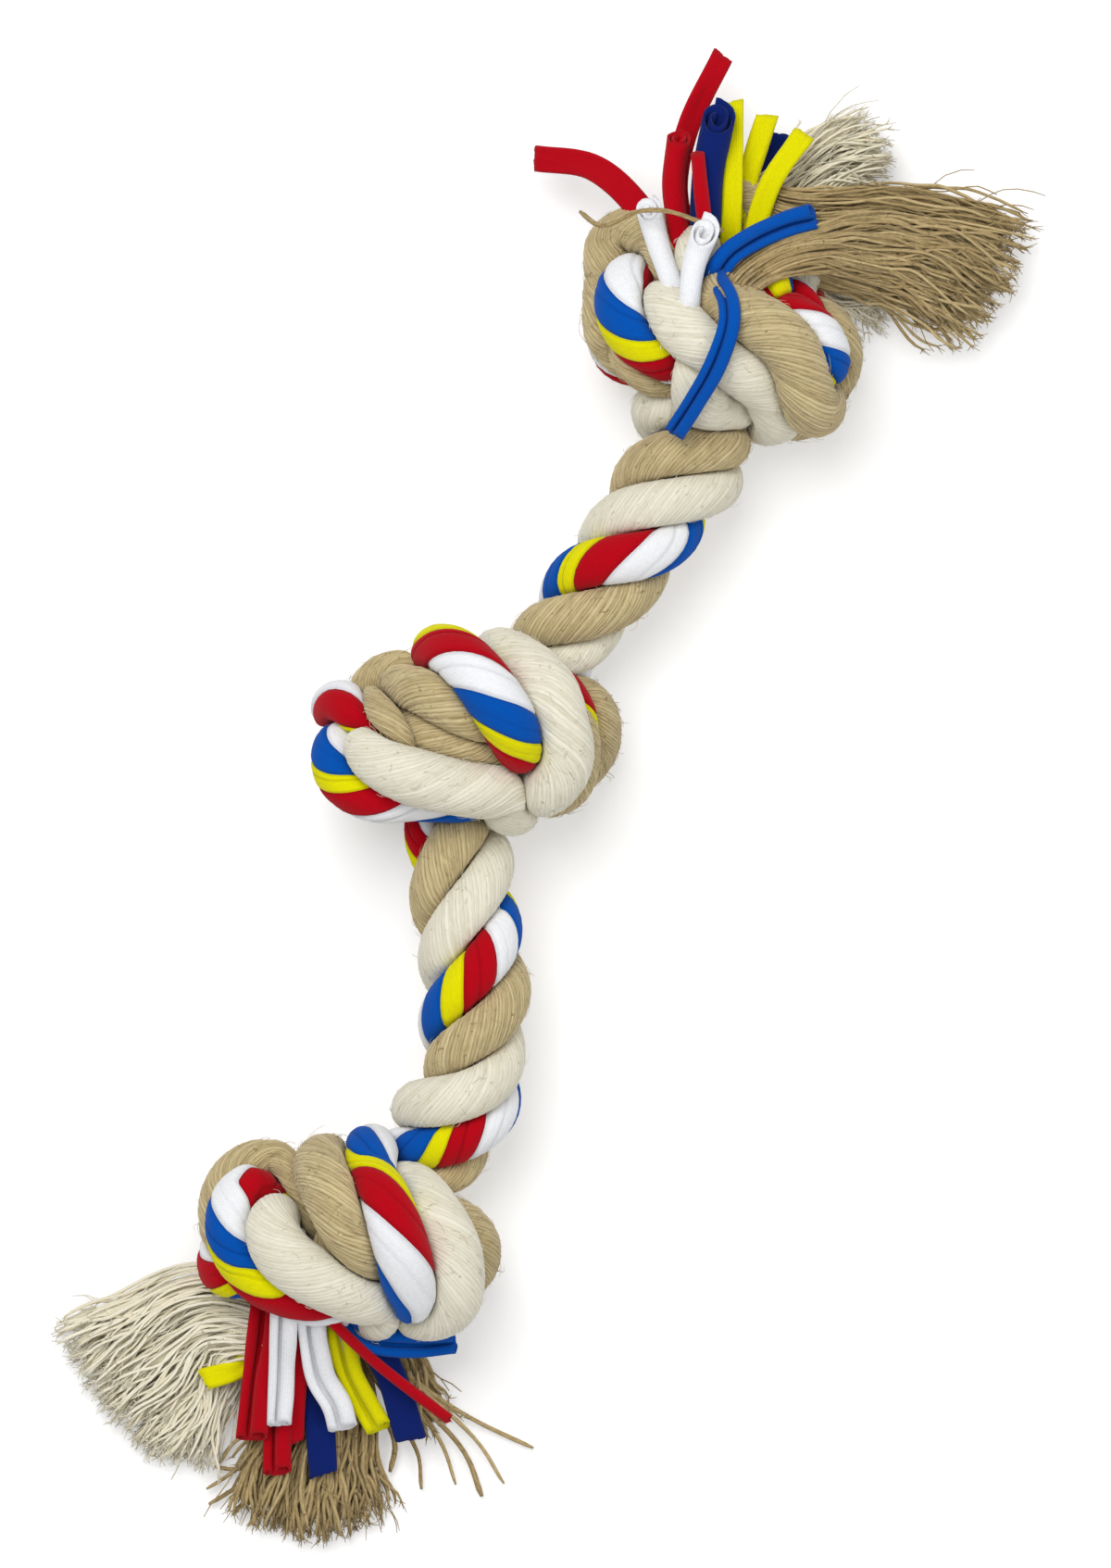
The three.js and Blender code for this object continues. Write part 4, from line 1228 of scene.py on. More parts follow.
@dataclass
class JerseyStrip:
    """One strip of jersey that hangs out of a tassel, curled along its length."""

    end: str
    name: str
    colour: Colour
    width: float
    section: Section
    tilt: float
    route: tuple[Place, ...]
    thickness: float = 0.9
    lopsided: float = 0.3
    flattened: float = 0.85
    slant: float = 0.9
    slant_rows: int = 5
    tip_lift: float = 0.0
    tip_flare: float = 0.02
    dip: Pair = (5.0, 10.0)
    across: int = 56
    step: float = 2.6
    seed: int = 0
    roll_core: float = 0.28
    roll_sweep: float = 720.0
    scroll_core: float = 0.45
    scroll_sweep: float = 400.0
    edge_radii: Pair = (1.2, 0.9)
    edge_sweep: float = 200.0
    curl_steps: int = 400
    lift_start: float = 0.55
    flare_start: float = 0.5
    sway: float = 0.35
    sway_knots: int = 3
    breadth_change: float = 0.06
    breadth_knots: int = 5
    ripple: float = 0.35
    ripple_knots: int = 6
    ripple_rows: int = 4
    curled_ripple: float = 0.35
    ragged: Pair = (0.3, 0.12)
    ragged_knots: int = 14
    cut_slope: float = 0.3

    def profile(self) -> Array:
        """The strip's cross section, as points from edge to edge.

        Returns:
            Points across and up, in millimetres.
        """
        half = (self.width - self.thickness) / 2
        if self.section is Section.ROLL:
            points = self._curl(0.0, half, half * self.roll_core, self.roll_sweep, self.across)
            return points - np.array([0.0, half])
        sides = []
        for share in (1 + self.lopsided, 1 - self.lopsided):
            if self.section is Section.SCROLL:
                radius = half * share / 2
                sides.append(self._curl(radius, radius, radius * self.scroll_core, self.scroll_sweep,
                                        self.across // 2))
            else:
                outer, inner = self.edge_radii
                edge = self._curl(half - outer, outer, inner, self.edge_sweep, self.across // 2)
                sides.append(edge * np.array([1.0, -1.0]))
        points = np.vstack([sides[0][::-1] * np.array([-1.0, 1.0]), sides[1][1:]])
        if self.section is Section.SCROLL:
            points = points * np.array([1.0, self.flattened]) - np.array([half * self.lopsided, 0.0])
        return points - np.array([0.0, points[:, 1].mean()])

    def _curl(self, straight: float, outer: float, inner: float, sweep: float, count: int) -> Array:
        """A line that runs straight from the origin and then curls up into a spiral.

        Args:
            straight: Length of the straight part.
            outer: Radius where the curl starts.
            inner: Radius where it ends.
            sweep: The angle that it turns through, in degrees.
            count: Steps along it.

        Returns:
            Points across and up, evenly spaced.
        """
        whole = math.radians(sweep)
        angle = np.linspace(0.0, whole, self.curl_steps)
        bend = outer + (inner - outer) * angle / whole
        heading = np.stack([np.cos(angle), np.sin(angle)], axis=1)
        curl = np.vstack([[0.0, 0.0], np.cumsum((heading * bend[:, None])[:-1] * angle[1], axis=0)])
        curl = np.vstack([[0.0, 0.0], curl + np.array([max(straight, SMALL), 0.0])])
        lengths = run_lengths(curl)
        at = np.linspace(0.0, lengths[-1], count + 1)
        return np.stack([np.interp(at, lengths, curl[:, axis]) for axis in (0, 1)], axis=1)

    def build(self) -> Object:
        """Sweep the cross section along the route and give it its thickness.

        Returns:
            The new object.
        """
        rng = np.random.default_rng(self.seed)
        line = SmoothCurve(np.vstack([self._sunk_root(), np.array(self.route, float)])).spaced(self.step)
        section = self.profile()
        rows, columns = len(line), len(section)
        share = np.linspace(0.0, 1.0, rows)
        lifted = np.clip((share - self.lift_start) / (1.0 - self.lift_start), 0.0, 1.0)
        line = line + UP * (self.tip_lift * lifted**2)[:, None]
        tangents = tangents_of(line)
        wide = unit(np.cross(tangents, UP))
        thick = np.cross(wide, tangents)
        angle = math.radians(self.tilt) + self.sway * wander(rng, rows, self.sway_knots)[0]
        side = swung(wide, thick, angle)
        over = swung(thick, -wide, angle)
        breadth = 1 + self.breadth_change * wander(rng, rows, self.breadth_knots)[0]
        breadth = breadth + self.tip_flare * self.tip_lift * smoothstep(share, self.flare_start, 1.0)
        ripple = self.ripple * wander(rng, columns, self.ripple_knots, rows // self.ripple_rows + 2)
        at = np.linspace(0, len(ripple) - 1, rows)
        low = np.minimum(at.astype(int), len(ripple) - 2)
        ripple = ripple[low] * (1 - (at - low))[:, None] + ripple[low + 1] * (at - low)[:, None]
        flat = self.section is Section.FLAT
        points = (line[:, None] + side[:, None] * (section[None, :, :1] * breadth[:, None, None])
                  + over[:, None] * (section[None, :, 1:] * breadth[:, None, None]))
        points += over[:, None] * (ripple * (1.0 if flat else self.curled_ripple))[..., None]
        slow, quick = self.ragged
        ragged = slow * wander(rng, columns, self.ragged_knots)[0] + quick * rng.uniform(-1, 1, columns)
        ragged += self.cut_slope * rng.normal() * section[:, 0] * flat
        points[-1] += tangents[-1] * ragged[:, None]
        if not flat:
            shares = np.linspace(0.0, 1.0, self.slant_rows + 1)[1:, None, None]
            heights = (points[-1] - line[-1]) @ thick[-1]
            points[-self.slant_rows:] -= tangents[-1] * (self.slant * heights)[None, :, None] * shares
        flat_widths = run_lengths(section)
        steps = run_lengths(line)
        self.flat = (float(flat_widths[-1]) * MM, float(steps[-1]) * MM)
        return self._write(points, flat_widths, steps)

    def _sunk_root(self) -> Array:
        """Find where the strip comes from, inside the knot.

        Returns:
            The place.
        """
        start, following = np.array(self.route[:2], float)
        ahead = unit((following - start) * np.array([1.0, 1.0, 0.0]))
        back, down = self.dip
        return start - ahead * back - UP * down

    def _write(self, points: Array, widths: Array, lengths: Array) -> Object:
        """Shape a grid into the strip.

        Args:
            points: Places by row and column, in millimetres.
            widths: Flat width at each column.
            lengths: Length at each row.

        Returns:
            The new object.
        """
        rows, columns = points.shape[:2]
        grid = bmesh.new()
        bmesh.ops.create_grid(grid, x_segments=columns - 1, y_segments=rows - 1, size=1.0)
        layer = grid.loops.layers.uv.new(LAY_MAP)
        grid.verts.ensure_lookup_table()
        place = {}
        for vert in grid.verts:
            column = round((vert.co.x + 1) / 2 * (columns - 1))
            row = round((vert.co.y + 1) / 2 * (rows - 1))
            place[vert] = (row, column)
        for vert, (row, column) in place.items():
            vert.co = points[row, column] * MM
            vert.co.z = max(vert.co.z, 0.5 * self.thickness * MM)
        for face in grid.faces:
            face.smooth = True
            for loop in face.loops:
                row, column = place[loop.vert]
                loop[layer].uv = (lengths[row], widths[column])
        mesh = bpy.data.meshes.new(f"{self.end}_{self.name}_cloth")
        grid.to_mesh(mesh)
        grid.free()
        obj = linked(mesh.name, mesh)
        shell = obj.modifiers.new("cloth thickness", "SOLIDIFY")
        shell.thickness = self.thickness * MM
        shell.offset = 0.0
        return obj


@dataclass(frozen=True)
class TailBundle:
    """Yarns of a tail that run together, with half widths and half thicknesses along their route."""

    route: tuple[Place, ...]
    width: tuple[float, ...]
    thick: tuple[float, ...]
    yarns: int
    fine: int
    start: BundleStart = BundleStart.STRAND_END


@dataclass(frozen=True)
class OpenedYarn:
    """How a yarn of a tail runs and frays, in millimetres and in shares of its bundle."""

    tips: Pair = (0.62, 0.97)
    least_rings: int = 10
    least_kinks: int = 3
    lock_steps: int = 24
    lock_knots: int = 4
    gathered: Pair = (0.2, 0.7)
    opened: Pair = (0.05, 0.6)
    scatter: Pair = (0.2, 0.16)
    scatter_knots: int = 4
    curled: Pair = (0.65, 1.0)
    lowness: float = 0.5
    fine_looseness: float = 2.0
    stray_step: float = 3.0
    stray_wave: float = 0.5
    stray_knots: int = 5
    drape_rounds: int = 4
    girths: Pair = (0.8, 1.15)
    girth_change: float = 0.14
    girth_points: int = 3
    tip_girth: float = 0.6
    sides: int = 5
    map_length: float = 500.0
    fibres: int = 4
    fibre_spread: float = 0.45
    fibre_length: Pair = (1.5, 4.0)
    fibre_bend: float = 0.2
    fibre_root: float = 0.8
    fibre_height: float = 0.25
    fibre_radius: Pair = (0.3, 0.12)


YARN = OpenedYarn()


@dataclass
class FrayedTail:
    """The opened yarns of a strand past a knot."""

    name: str
    strand: Strand
    at_start: bool
    bundles: tuple[TailBundle, ...]
    yarn_radius: float
    wave: float
    uneven: float
    seed: int
    arc: float = 0.0
    tones: Pair = (0.0, 1.0)
    strays: tuple[tuple[Place, ...], ...] = ()
    fine_radius: float = 0.26
    stray_share: float = 1.3
    kink: float = 10.0
    ring_step: float = 3.5
    locks: int = 30
    lock_wave: float = 2.4
    lock_pull: float = 0.4
    curl: float = 3.0
    bed_swell: float = 1.08
    emerging: Pair = (4.0, 16.0)
    root_depth: float = 9.0

    def build(self, root: Array, bed: tuple[Array, Array]) -> Object:
        """Build the yarns and their frayed ends.

        Args:
            root: The end of the strand's middle line.
            bed: Middle lines and radii of the strands that the tail lies on.

        Returns:
            The new object.
        """
        rng = np.random.default_rng(self.seed)
        batch = MeshBatch()
        for bundle in self.bundles:
            places = np.array(bundle.route, float)
            if bundle.start is BundleStart.STRAND_END:
                places = np.vstack([root, places])
            curve = SmoothCurve(places)
            bends = [wander(rng, YARN.lock_steps, YARN.lock_knots, 2) for _ in range(self.locks)]
            for number in range(bundle.yarns + bundle.fine):
                thin = number >= bundle.yarns
                place = self._disc_place(number % bundle.yarns, bundle.yarns)
                radius = self.fine_radius if thin else self.yarn_radius
                loose = YARN.fine_looseness if thin else 1.0
                line = self._yarn_line(bundle, curve, place, bends, rng, loose)
                if bundle.start is BundleStart.ON_KNOT:
                    line = self._draped(line, bed, rng.uniform(*self.emerging))
                line[:, 2] = np.maximum(line[:, 2], radius)
                self._add_thread(batch, line, radius, rng)
        for stray in self.strays:
            line = SmoothCurve(np.array(stray, float)).spaced(YARN.stray_step)
            line = line + YARN.stray_wave * self._wobble(rng, len(line), YARN.stray_knots)
            self._add_thread(batch, line, self.yarn_radius * self.stray_share, rng, frayed=False)
        return batch.build(self.name)

    def _wobble(self, rng: Generator, count: int, knots: int) -> Array:
        """A slow sideways wander of a yarn."""
        return wander(rng, count, knots, 3).T

    def _disc_place(self, number: int, total: int) -> Array:
        """Spread the yarns of a round bundle evenly by the golden angle.

        Args:
            number: The yarn's number.
            total: Yarns in the bundle.

        Returns:
            Its place within a circle of one.
        """
        reach = math.sqrt((number + 0.5) / total)
        spin = number * math.pi * (3 - math.sqrt(5))
        return reach * np.array([math.cos(spin), math.sin(spin)])

    def _yarn_line(self, bundle: TailBundle, curve: SmoothCurve, place: Array,
                   bends: list[Array], rng: Generator, loose: float) -> Array:
        """The middle line of one yarn, from the strand's end to its own tip.

        Args:
            bundle: The yarns that it runs with.
            curve: The middle of the bundle.
            place: Its place across the bundle, within a circle of one.
            bends: How each lock of yarns strays from the bundle.
            rng: The source of numbers.
            loose: How freely it strays.

        Returns:
            Points along it.
        """
        short = self.uneven * abs(rng.normal(0, 1)) + self.arc * place[0] ** 2
        shortest, longest = YARN.tips
        tip = float(np.clip(longest - short, shortest, 1.0))
        count = max(YARN.least_rings, round(curve.length * tip / self.ring_step))
        share = np.linspace(0.0, tip, count)
        middle = curve.at_length(share)
        tangents = tangents_of(middle)
        wide = unit(np.cross(tangents, UP))
        thick = np.cross(wide, tangents)
        knots = np.linspace(0.0, 1.0, len(bundle.width))
        half_wide = np.interp(share, knots, bundle.width) - self.yarn_radius
        half_thick = np.interp(share, knots, bundle.thick) - self.yarn_radius
        centres = np.array([self._disc_place(lock, self.locks) for lock in range(self.locks)])
        lock = int(np.argmin(norm(centres - place, axis=1)))
        pull = self.lock_pull * smoothstep(share, *YARN.gathered)
        opened = smoothstep(share, *YARN.opened)
        steps = np.linspace(0.0, 1.0, YARN.lock_steps)
        shift, change = YARN.scatter
        offsets = []
        for axis in (0, 1):
            stray = shift * rng.normal() + change * wander(rng, count, YARN.scatter_knots)[0]
            own = place[axis] + loose * opened * stray
            offsets.append(own * (1 - pull) + centres[lock, axis] * pull)
        beyond = np.maximum(np.hypot(*offsets), 1.0)
        sway = [self.lock_wave * opened * np.interp(share, steps, bends[lock][axis]) for axis in (0, 1)]
        curl = smoothstep(share / tip, *YARN.curled) ** 2
        aside = offsets[0] / beyond * half_wide + sway[0] + loose * self.curl * rng.normal() * curl
        droop = loose * YARN.lowness * self.curl * abs(rng.normal()) * curl
        above = offsets[1] / beyond * half_thick + YARN.lowness * sway[1] - droop
        line = middle + wide * aside[:, None] + thick * above[:, None]
        kinks = max(YARN.least_kinks, round(curve.length / self.kink))
        return line + self.wave * loose * opened[:, None] * self._wobble(rng, count, kinks)

    def _draped(self, line: Array, bed: tuple[Array, Array], hidden: float) -> Array:
        """Lift a yarn over the strands that it lies on, out of the gap that it comes from.

        Args:
            line: The yarn's middle line.
            bed: Middle lines and radii of the strands.
            hidden: How far along it comes to the surface.

        Returns:
            The lifted line.
        """
        points, radii = bed
        radii = radii * self.bed_swell + self.yarn_radius
        aside = norm(line[:, None, :2] - points[None, :, :2], axis=2)
        inside = np.maximum(radii**2 - aside**2, 0.0)
        tops = np.where(aside < radii, points[:, 2] + np.sqrt(inside), 0.0)
        run = run_lengths(line)
        top = tops.max(axis=1) - self.root_depth * (1 - smoothstep(run, 0.0, hidden))
        lifted = line.copy()
        lifted[:, 2] = np.where(run < hidden, np.minimum(lifted[:, 2], top), lifted[:, 2])
        for _ in range(YARN.drape_rounds):
            lifted[:, 2] = np.maximum(lifted[:, 2], top)
            lifted[1:-1, 2] = (lifted[:-2, 2] + 2 * lifted[1:-1, 2] + lifted[2:, 2]) / 4
        lifted[:, 2] = np.maximum(lifted[:, 2], top)
        return lifted

    def _add_thread(self, batch: MeshBatch, line: Array, size: float, rng: Generator,
                    frayed: bool = True) -> None:
        """Add a yarn's tube and the fibres of its frayed tip.

        Args:
            batch: The mesh to add to.
            line: The yarn's middle line.
            size: Its radius.
            rng: The source of numbers.
            frayed: Whether its tip has opened.
        """
        tone = float(rng.uniform(*self.tones))
        girth = size * rng.uniform(*YARN.girths)
        change = wander(rng, len(line), len(line) // YARN.girth_points)[0]
        radius = girth * (1 + YARN.girth_change * change)
        radius[-1] *= YARN.tip_girth
        sides = YARN.sides if size > self.fine_radius else FIBRE.sides
        batch.thread(line, radius, sides, tone, float(rng.uniform(0, YARN.map_length)))
        if size <= self.fine_radius or not frayed:
            return
        tip = line[-1]
        ahead = unit(line[-1] - line[-3])
        for _ in range(YARN.fibres):
            spread = unit(ahead + YARN.fibre_spread * rng.normal(0, 1, 3))
            length = rng.uniform(*YARN.fibre_length)
            share = np.linspace(0.0, 1.0, FIBRE.points)[:, None]
            bend = rng.normal(0, YARN.fibre_bend, 3)
            hair = tip - ahead * YARN.fibre_root + spread * length * share + bend * length * share**2
            hair[:, 2] = np.maximum(hair[:, 2], YARN.fibre_height)
            batch.thread(hair, np.linspace(*YARN.fibre_radius, FIBRE.points), FIBRE.sides, tone)


TAILS = [
    FrayedTail("upper_jute_yarns", Strand.JUTE, True,
               (TailBundle(((120, 184, 34), (155, 180, 26), (182, 172, 20), (201, 163, 15)),
                           (9, 15, 21, 27, 31), (9, 12, 14, 13, 10), 240, 120),
                TailBundle(((97, 160, 60), (103, 167, 62), (113, 173, 60), (128, 177, 52),
                            (148, 178, 40), (172, 172, 30), (193, 161, 22)),
                           (7, 8, 9, 11, 15, 19, 22), (2, 3, 4, 5, 6, 6, 5), 100, 50,
                           BundleStart.ON_KNOT)),
               0.62, 1.0, 0.1, 101, 0.06, (0.0, 1.0),
               (((93, 182, 72), (78, 188, 76), (64, 189, 74), (50, 184, 66), (42, 190, 58)),),
               lock_wave=3.2),
    FrayedTail("upper_cotton_yarns", Strand.COTTON, True,
               (TailBundle(((118, 198, 18), (137, 211, 14), (157, 213, 11)),
                           (9, 12, 15, 16), (9, 10, 10, 8), 200, 120),
                TailBundle(((112, 175, 16), (134, 165, 11), (157, 153, 7)),
                           (6, 8, 9), (6, 6, 5), 60, 40, BundleStart.BEHIND_KNOT)),
               0.55, 0.6, 0.15, 103, 0.1, (0.0, 0.5)),
    FrayedTail("lower_jute_yarns", Strand.JUTE, False,
               (TailBundle(((-50, -235, 11), (-55, -264, 8), (-58, -293, 7)),
                           (9, 18, 27, 34), (9, 9, 8, 6), 260, 110),
                TailBundle(((-34, -200, 30), (-25, -217, 19), (-18, -234, 10), (-11, -254, 5)),
                           (5, 6, 8, 13), (4, 4, 4, 3), 34, 30, BundleStart.BEHIND_KNOT)),
               0.72, 1.0, 0.08, 107, 0.22, (0.0, 0.76),
               (((-62, -245, 10), (-74, -258, 7), (-86, -267, 4), (-94, -272, 3)),
                ((-60, -248, 9), (-73, -264, 6), (-85, -273, 4), (-93, -277, 3)),
                ((-60, -250, 9), (-68, -268, 6), (-74, -279, 4), (-79, -285, 3)),
                ((-64, -240, 10), (-76, -250, 7), (-85, -256, 5), (-89, -263, 3)),
                ((-62, -250, 9), (-73, -261, 6), (-83, -265, 4), (-91, -264, 3)),
                ((-62, -252, 9), (-70, -266, 6), (-80, -277, 4), (-84, -281, 3)),
                ((-34, -215, 22), (-18, -232, 14), (4, -247, 6), (25, -257, 3)),
                ((-32, -216, 20), (-14, -236, 12), (4, -254, 6), (15, -270, 3)),
                ((-34, -218, 18), (-16, -240, 10), (0, -258, 5), (7, -275, 3)),
                ((-36, -220, 18), (-20, -240, 10), (-8, -255, 5), (-3, -270, 3)),
                ((-38, -222, 16), (-24, -244, 8), (-17, -258, 4), (-15, -272, 3)),
                ((-40, -224, 14), (-30, -244, 7), (-25, -256, 4), (-27, -266, 3)))),
    FrayedTail("lower_cotton_yarns", Strand.COTTON, False,
               (TailBundle(((-92, -210, 17), (-115, -228, 11), (-134, -243, 9)),
                           (9, 17, 27, 34), (9, 10, 9, 7), 320, 140),
                TailBundle(((-76, -198, 16), (-88, -222, 13), (-96, -242, 10), (-106, -262, 7)),
                           (7, 11, 14, 17), (6, 7, 7, 5), 130, 60, BundleStart.BEHIND_KNOT)),
               0.62, 0.85, 0.08, 109, 0.05),
]


def linear(srgb: tuple[int, int, int]) -> tuple[float, float, float, float]:
    """Turn a colour of 0 to 255 into Blender's linear one.

    Args:
        srgb: Red, green and blue.

    Returns:
        The linear colour, with an alpha of one.
    """
    shares = [value / 255 for value in srgb]
    parts = [s / 12.92 if s <= 0.04045 else ((s + 0.055) / 1.055) ** 2.4 for s in shares]
    return parts[0], parts[1], parts[2], 1.0


class NodeBook:
    """Small helpers to place nodes in one tree."""

    def __init__(self, tree: NodeTree) -> None:
        """Keep the tree."""
        self.tree = tree

    def node(self, kind: str, inputs: dict[str, object] | None = None, **values: object) -> Node:
        """Place a node.

        Args:
            kind: Blender's name for the node.
            inputs: Sockets or values for its inputs, by name.
            values: Its properties by name.

        Returns:
            The new node.
        """
        made = self.tree.nodes.new(kind)
        for name, value in values.items():
            setattr(made, name, value)
        self.fill(made, inputs or {})
        return made

    def link(self, source: NodeSocket, target: NodeSocket) -> None:
        """Join two sockets."""
        self.tree.links.new(source, target)

    def feed(self, target: NodeSocket, value: object) -> None:
        """Link a socket to an input, or set the input.

        Args:
            target: The input.
            value: A socket, number or colour.
        """
        if isinstance(value, NodeSocket):
            self.link(value, target)
        else:
            target.default_value = value

    def fill(self, node: Node, inputs: dict[str, object]) -> None:
        """Feed a node's inputs by their names."""
        for name, value in inputs.items():
            self.feed(node.inputs[name], value)

    def lay(self) -> NodeOutputs:
        """Sockets of the places along and round a piece, from its own map."""
        uv = self.node("ShaderNodeUVMap", uv_map=LAY_MAP)
        return self.node("ShaderNodeSeparateXYZ", {"Vector": uv.outputs[0]}).outputs

    def math(self, operation: str, *values: object) -> NodeSocket:
        """Place a Math node.

        Args:
            operation: What it does.
            values: Sockets or numbers, in the order of its inputs.

        Returns:
            Its output.
        """
        made = self.node("ShaderNodeMath", operation=operation)
        for socket, value in zip(made.inputs, values):
            self.feed(socket, value)
        return made.outputs[0]

    def mix(self, factor: object, first: object, second: object, blend: str = "MIX") -> NodeSocket:
        """Mix two colours.

        Args:
            factor: A socket or number.
            first: A socket or colour.
            second: A socket or colour.
            blend: How they are mixed.

        Returns:
            The mixed colour.
        """
        made = self.node("ShaderNodeMix", data_type="RGBA", blend_type=blend)
        sockets = (made.inputs[0], made.inputs[6], made.inputs[7])
        for socket, value in zip(sockets, (factor, first, second)):
            self.feed(socket, value)
        return made.outputs[2]


def new_material(name: str) -> tuple[Material, NodeBook, Node]:
    """Start a material.

    Args:
        name: Its name.

    Returns:
        The material, the helpers for its tree, and its shader.
    """
    material = bpy.data.materials.new(name)
    material.use_nodes = True
    return material, NodeBook(material.node_tree), material.node_tree.nodes["Principled BSDF"]


class SharedGroups:
    """Node groups that more than one material uses."""

    def __init__(self) -> None:
        """Build each group once."""
        self.fibres = self._fibres()
        self.stitches = self._stitches()

    def _tree(self, name: str, inputs: dict[str, float],
              outputs: list[str]) -> tuple[NodeBook, Node, Node]:
        """Start a group.

        Args:
            name: The group's name.
            inputs: Its inputs and their first values.
            outputs: Its outputs.

        Returns:
            The helpers, and the group's input and output nodes.
        """
        tree = bpy.data.node_groups.new(name, "ShaderNodeTree")
        for label, value in inputs.items():
            socket = tree.interface.new_socket(label, in_out="INPUT", socket_type="NodeSocketFloat")
            socket.default_value = value
        for label in outputs:
            tree.interface.new_socket(label, in_out="OUTPUT", socket_type="NodeSocketFloat")
        book = NodeBook(tree)
        return book, book.node("NodeGroupInput"), book.node("NodeGroupOutput")

    def _fibres(self) -> NodeTree:
        """Build the streaks of fibre that run along a yarn, slanting with its own twist.

        Returns:
            The group.
        """
        book, source, target = self._tree(
            "yarn fibres", {"Along": 0.35, "Across": 240.0, "Slant": 0.2}, ["Shade", "Height", "Fleck"])
        parts = book.lay()
        along = book.math("MULTIPLY", parts[0], source.outputs["Along"])
        across = book.math("MULTIPLY", parts[1], source.outputs["Across"])
        slant = book.math("MULTIPLY", parts[0], source.outputs["Slant"])
        place = book.node("ShaderNodeCombineXYZ", {"X": along, "Y": book.math("ADD", across, slant)})
        noise = book.node("ShaderNodeTexNoise", {
            "Vector": place.outputs[0], "Scale": 1.0, "Detail": 4.0, "Roughness": 0.65})
        spread = book.node("ShaderNodeMapRange", {
            "Value": noise.outputs["Fac"], "From Min": 0.36, "From Max": 0.64})
        where = book.node("ShaderNodeTexCoord")
        specks = book.node("ShaderNodeTexNoise", {
            "Vector": where.outputs["Object"], "Scale": 420.0, "Detail": 1.0})
        fleck = book.node("ShaderNodeMapRange", {
            "Value": specks.outputs["Fac"], "From Min": 0.71, "From Max": 0.76})
        book.fill(target, {"Shade": spread.outputs[0], "Height": noise.outputs["Fac"],
                           "Fleck": fleck.outputs[0]})
        return book.tree

    def _stitches(self) -> NodeTree:
        """Build the rows of small knitted loops, in millimetres of the cloth's own map.

        Returns:
            The group.
        """
        book, source, target = self._tree(
            "jersey stitches", {"Wales": 1.25, "Courses": 1.6, "Across": 1.0}, ["Height", "Shade"])
        parts = book.lay()
        cross = book.math("MULTIPLY", parts[1], source.outputs["Across"])
        wale = book.math("FRACT", book.math("MULTIPLY", cross, source.outputs["Wales"]))
        side = book.math("ABSOLUTE", book.math("SUBTRACT", wale, 0.5))
        course = book.math("MULTIPLY", parts[0], source.outputs["Courses"])
        loop = book.math("SINE", book.math("MULTIPLY", book.math("ADD", course, side), TURN))
        ridge = book.math("SUBTRACT", 1.0, book.math("POWER", book.math("MULTIPLY", side, 2.0), 2.0))
        height = book.math("MULTIPLY", book.math("ADD", book.math("MULTIPLY", loop, 0.35), 0.65), ridge)
        place = book.node("ShaderNodeCombineXYZ", {"X": parts[0], "Y": cross})
        noise = book.node("ShaderNodeTexNoise", {
            "Vector": place.outputs[0], "Scale": 0.9, "Detail": 3.0})
        book.fill(target, {"Height": height, "Shade": noise.outputs["Fac"]})
        return book.tree


@dataclass(frozen=True)
class YarnFinish:
    """Colours and grain of a spun yarn, and the painted shade in the hollows between its yarns."""

    name: str
    dark: tuple[int, int, int]
    light: tuple[int, int, int]
    fleck_and_groove_shade: tuple[int, int, int]
    across: float
    bump: float
    groove_shade_share: float
    sheen: float
    flecks: float = 0.7
    tone_share: float = 0.5
    # How light fibre streaks break up the painted shade between yarns
    broken: Pair = (-0.7, 1.0)
    bump_height: float = 0.0004

    def material(self, groups: SharedGroups) -> Material:
        """Build the material.

        Args:
            groups: The shared node groups.

        Returns:
            The new material.
        """
        material, book, shader = new_material(self.name)
        book.fill(shader, {"Roughness": 0.95, "Specular IOR Level": 0.15,
                           "Sheen Weight": self.sheen, "Sheen Roughness": 0.6})
        fibres = book.node("ShaderNodeGroup", node_tree=groups.fibres)
        book.fill(fibres, {"Across": self.across})
        tone = book.node("ShaderNodeAttribute", attribute_name=TONE)
        crown = book.node("ShaderNodeAttribute", attribute_name=CROWN)
        blend = book.math("ADD", book.math("MULTIPLY", tone.outputs["Fac"], self.tone_share),
                          book.math("MULTIPLY", fibres.outputs["Shade"], 1 - self.tone_share))
        base = book.mix(blend, linear(self.dark), linear(self.light))
        flecked = book.math("MULTIPLY", fibres.outputs["Fleck"], self.flecks)
        base = book.mix(flecked, base, linear(self.fleck_and_groove_shade))
        # Painted shade: the colour turns to the dark one where the crown is low between yarns, less
        # where the fibre streaks are light
        broken = book.math("MULTIPLY_ADD", fibres.outputs["Shade"], *self.broken)
        low = book.math("MULTIPLY", book.math("SUBTRACT", 1.0, crown.outputs["Fac"]), self.groove_shade_share)
        low = book.math("MULTIPLY", low, broken)
        bump = book.node("ShaderNodeBump", {
            "Strength": self.bump, "Distance": self.bump_height, "Height": fibres.outputs["Height"]})
        book.fill(shader, {"Base Color": book.mix(low, base, linear(self.fleck_and_groove_shade)),
                           "Normal": bump.outputs[0]})
        return material


# The third colour is the dark of the specks, and for the strands also the colour of the painted shade
# between yarns
YARN_FINISHES = {
    Strand.JUTE: YarnFinish(
        "jute yarn", (172, 150, 102), (222, 206, 160), (118, 94, 54), 190.0, 0.7, 0.8, 0.2),
    Strand.COTTON: YarnFinish(
        "cotton yarn", (212, 206, 183), (241, 238, 222), (182, 170, 140), 170.0, 0.5, 0.5, 0.2),
}
TAIL_FINISHES = {
    Strand.JUTE: YarnFinish(
        "opened jute yarn", (132, 108, 64), (212, 190, 140), (104, 80, 46), 6.0, 0.8, 0.6, 0.1),
    Strand.COTTON: YarnFinish(
        "opened cotton yarn", (222, 212, 182), (250, 246, 228), (176, 160, 128), 6.0, 0.7, 0.5, 0.1),
}


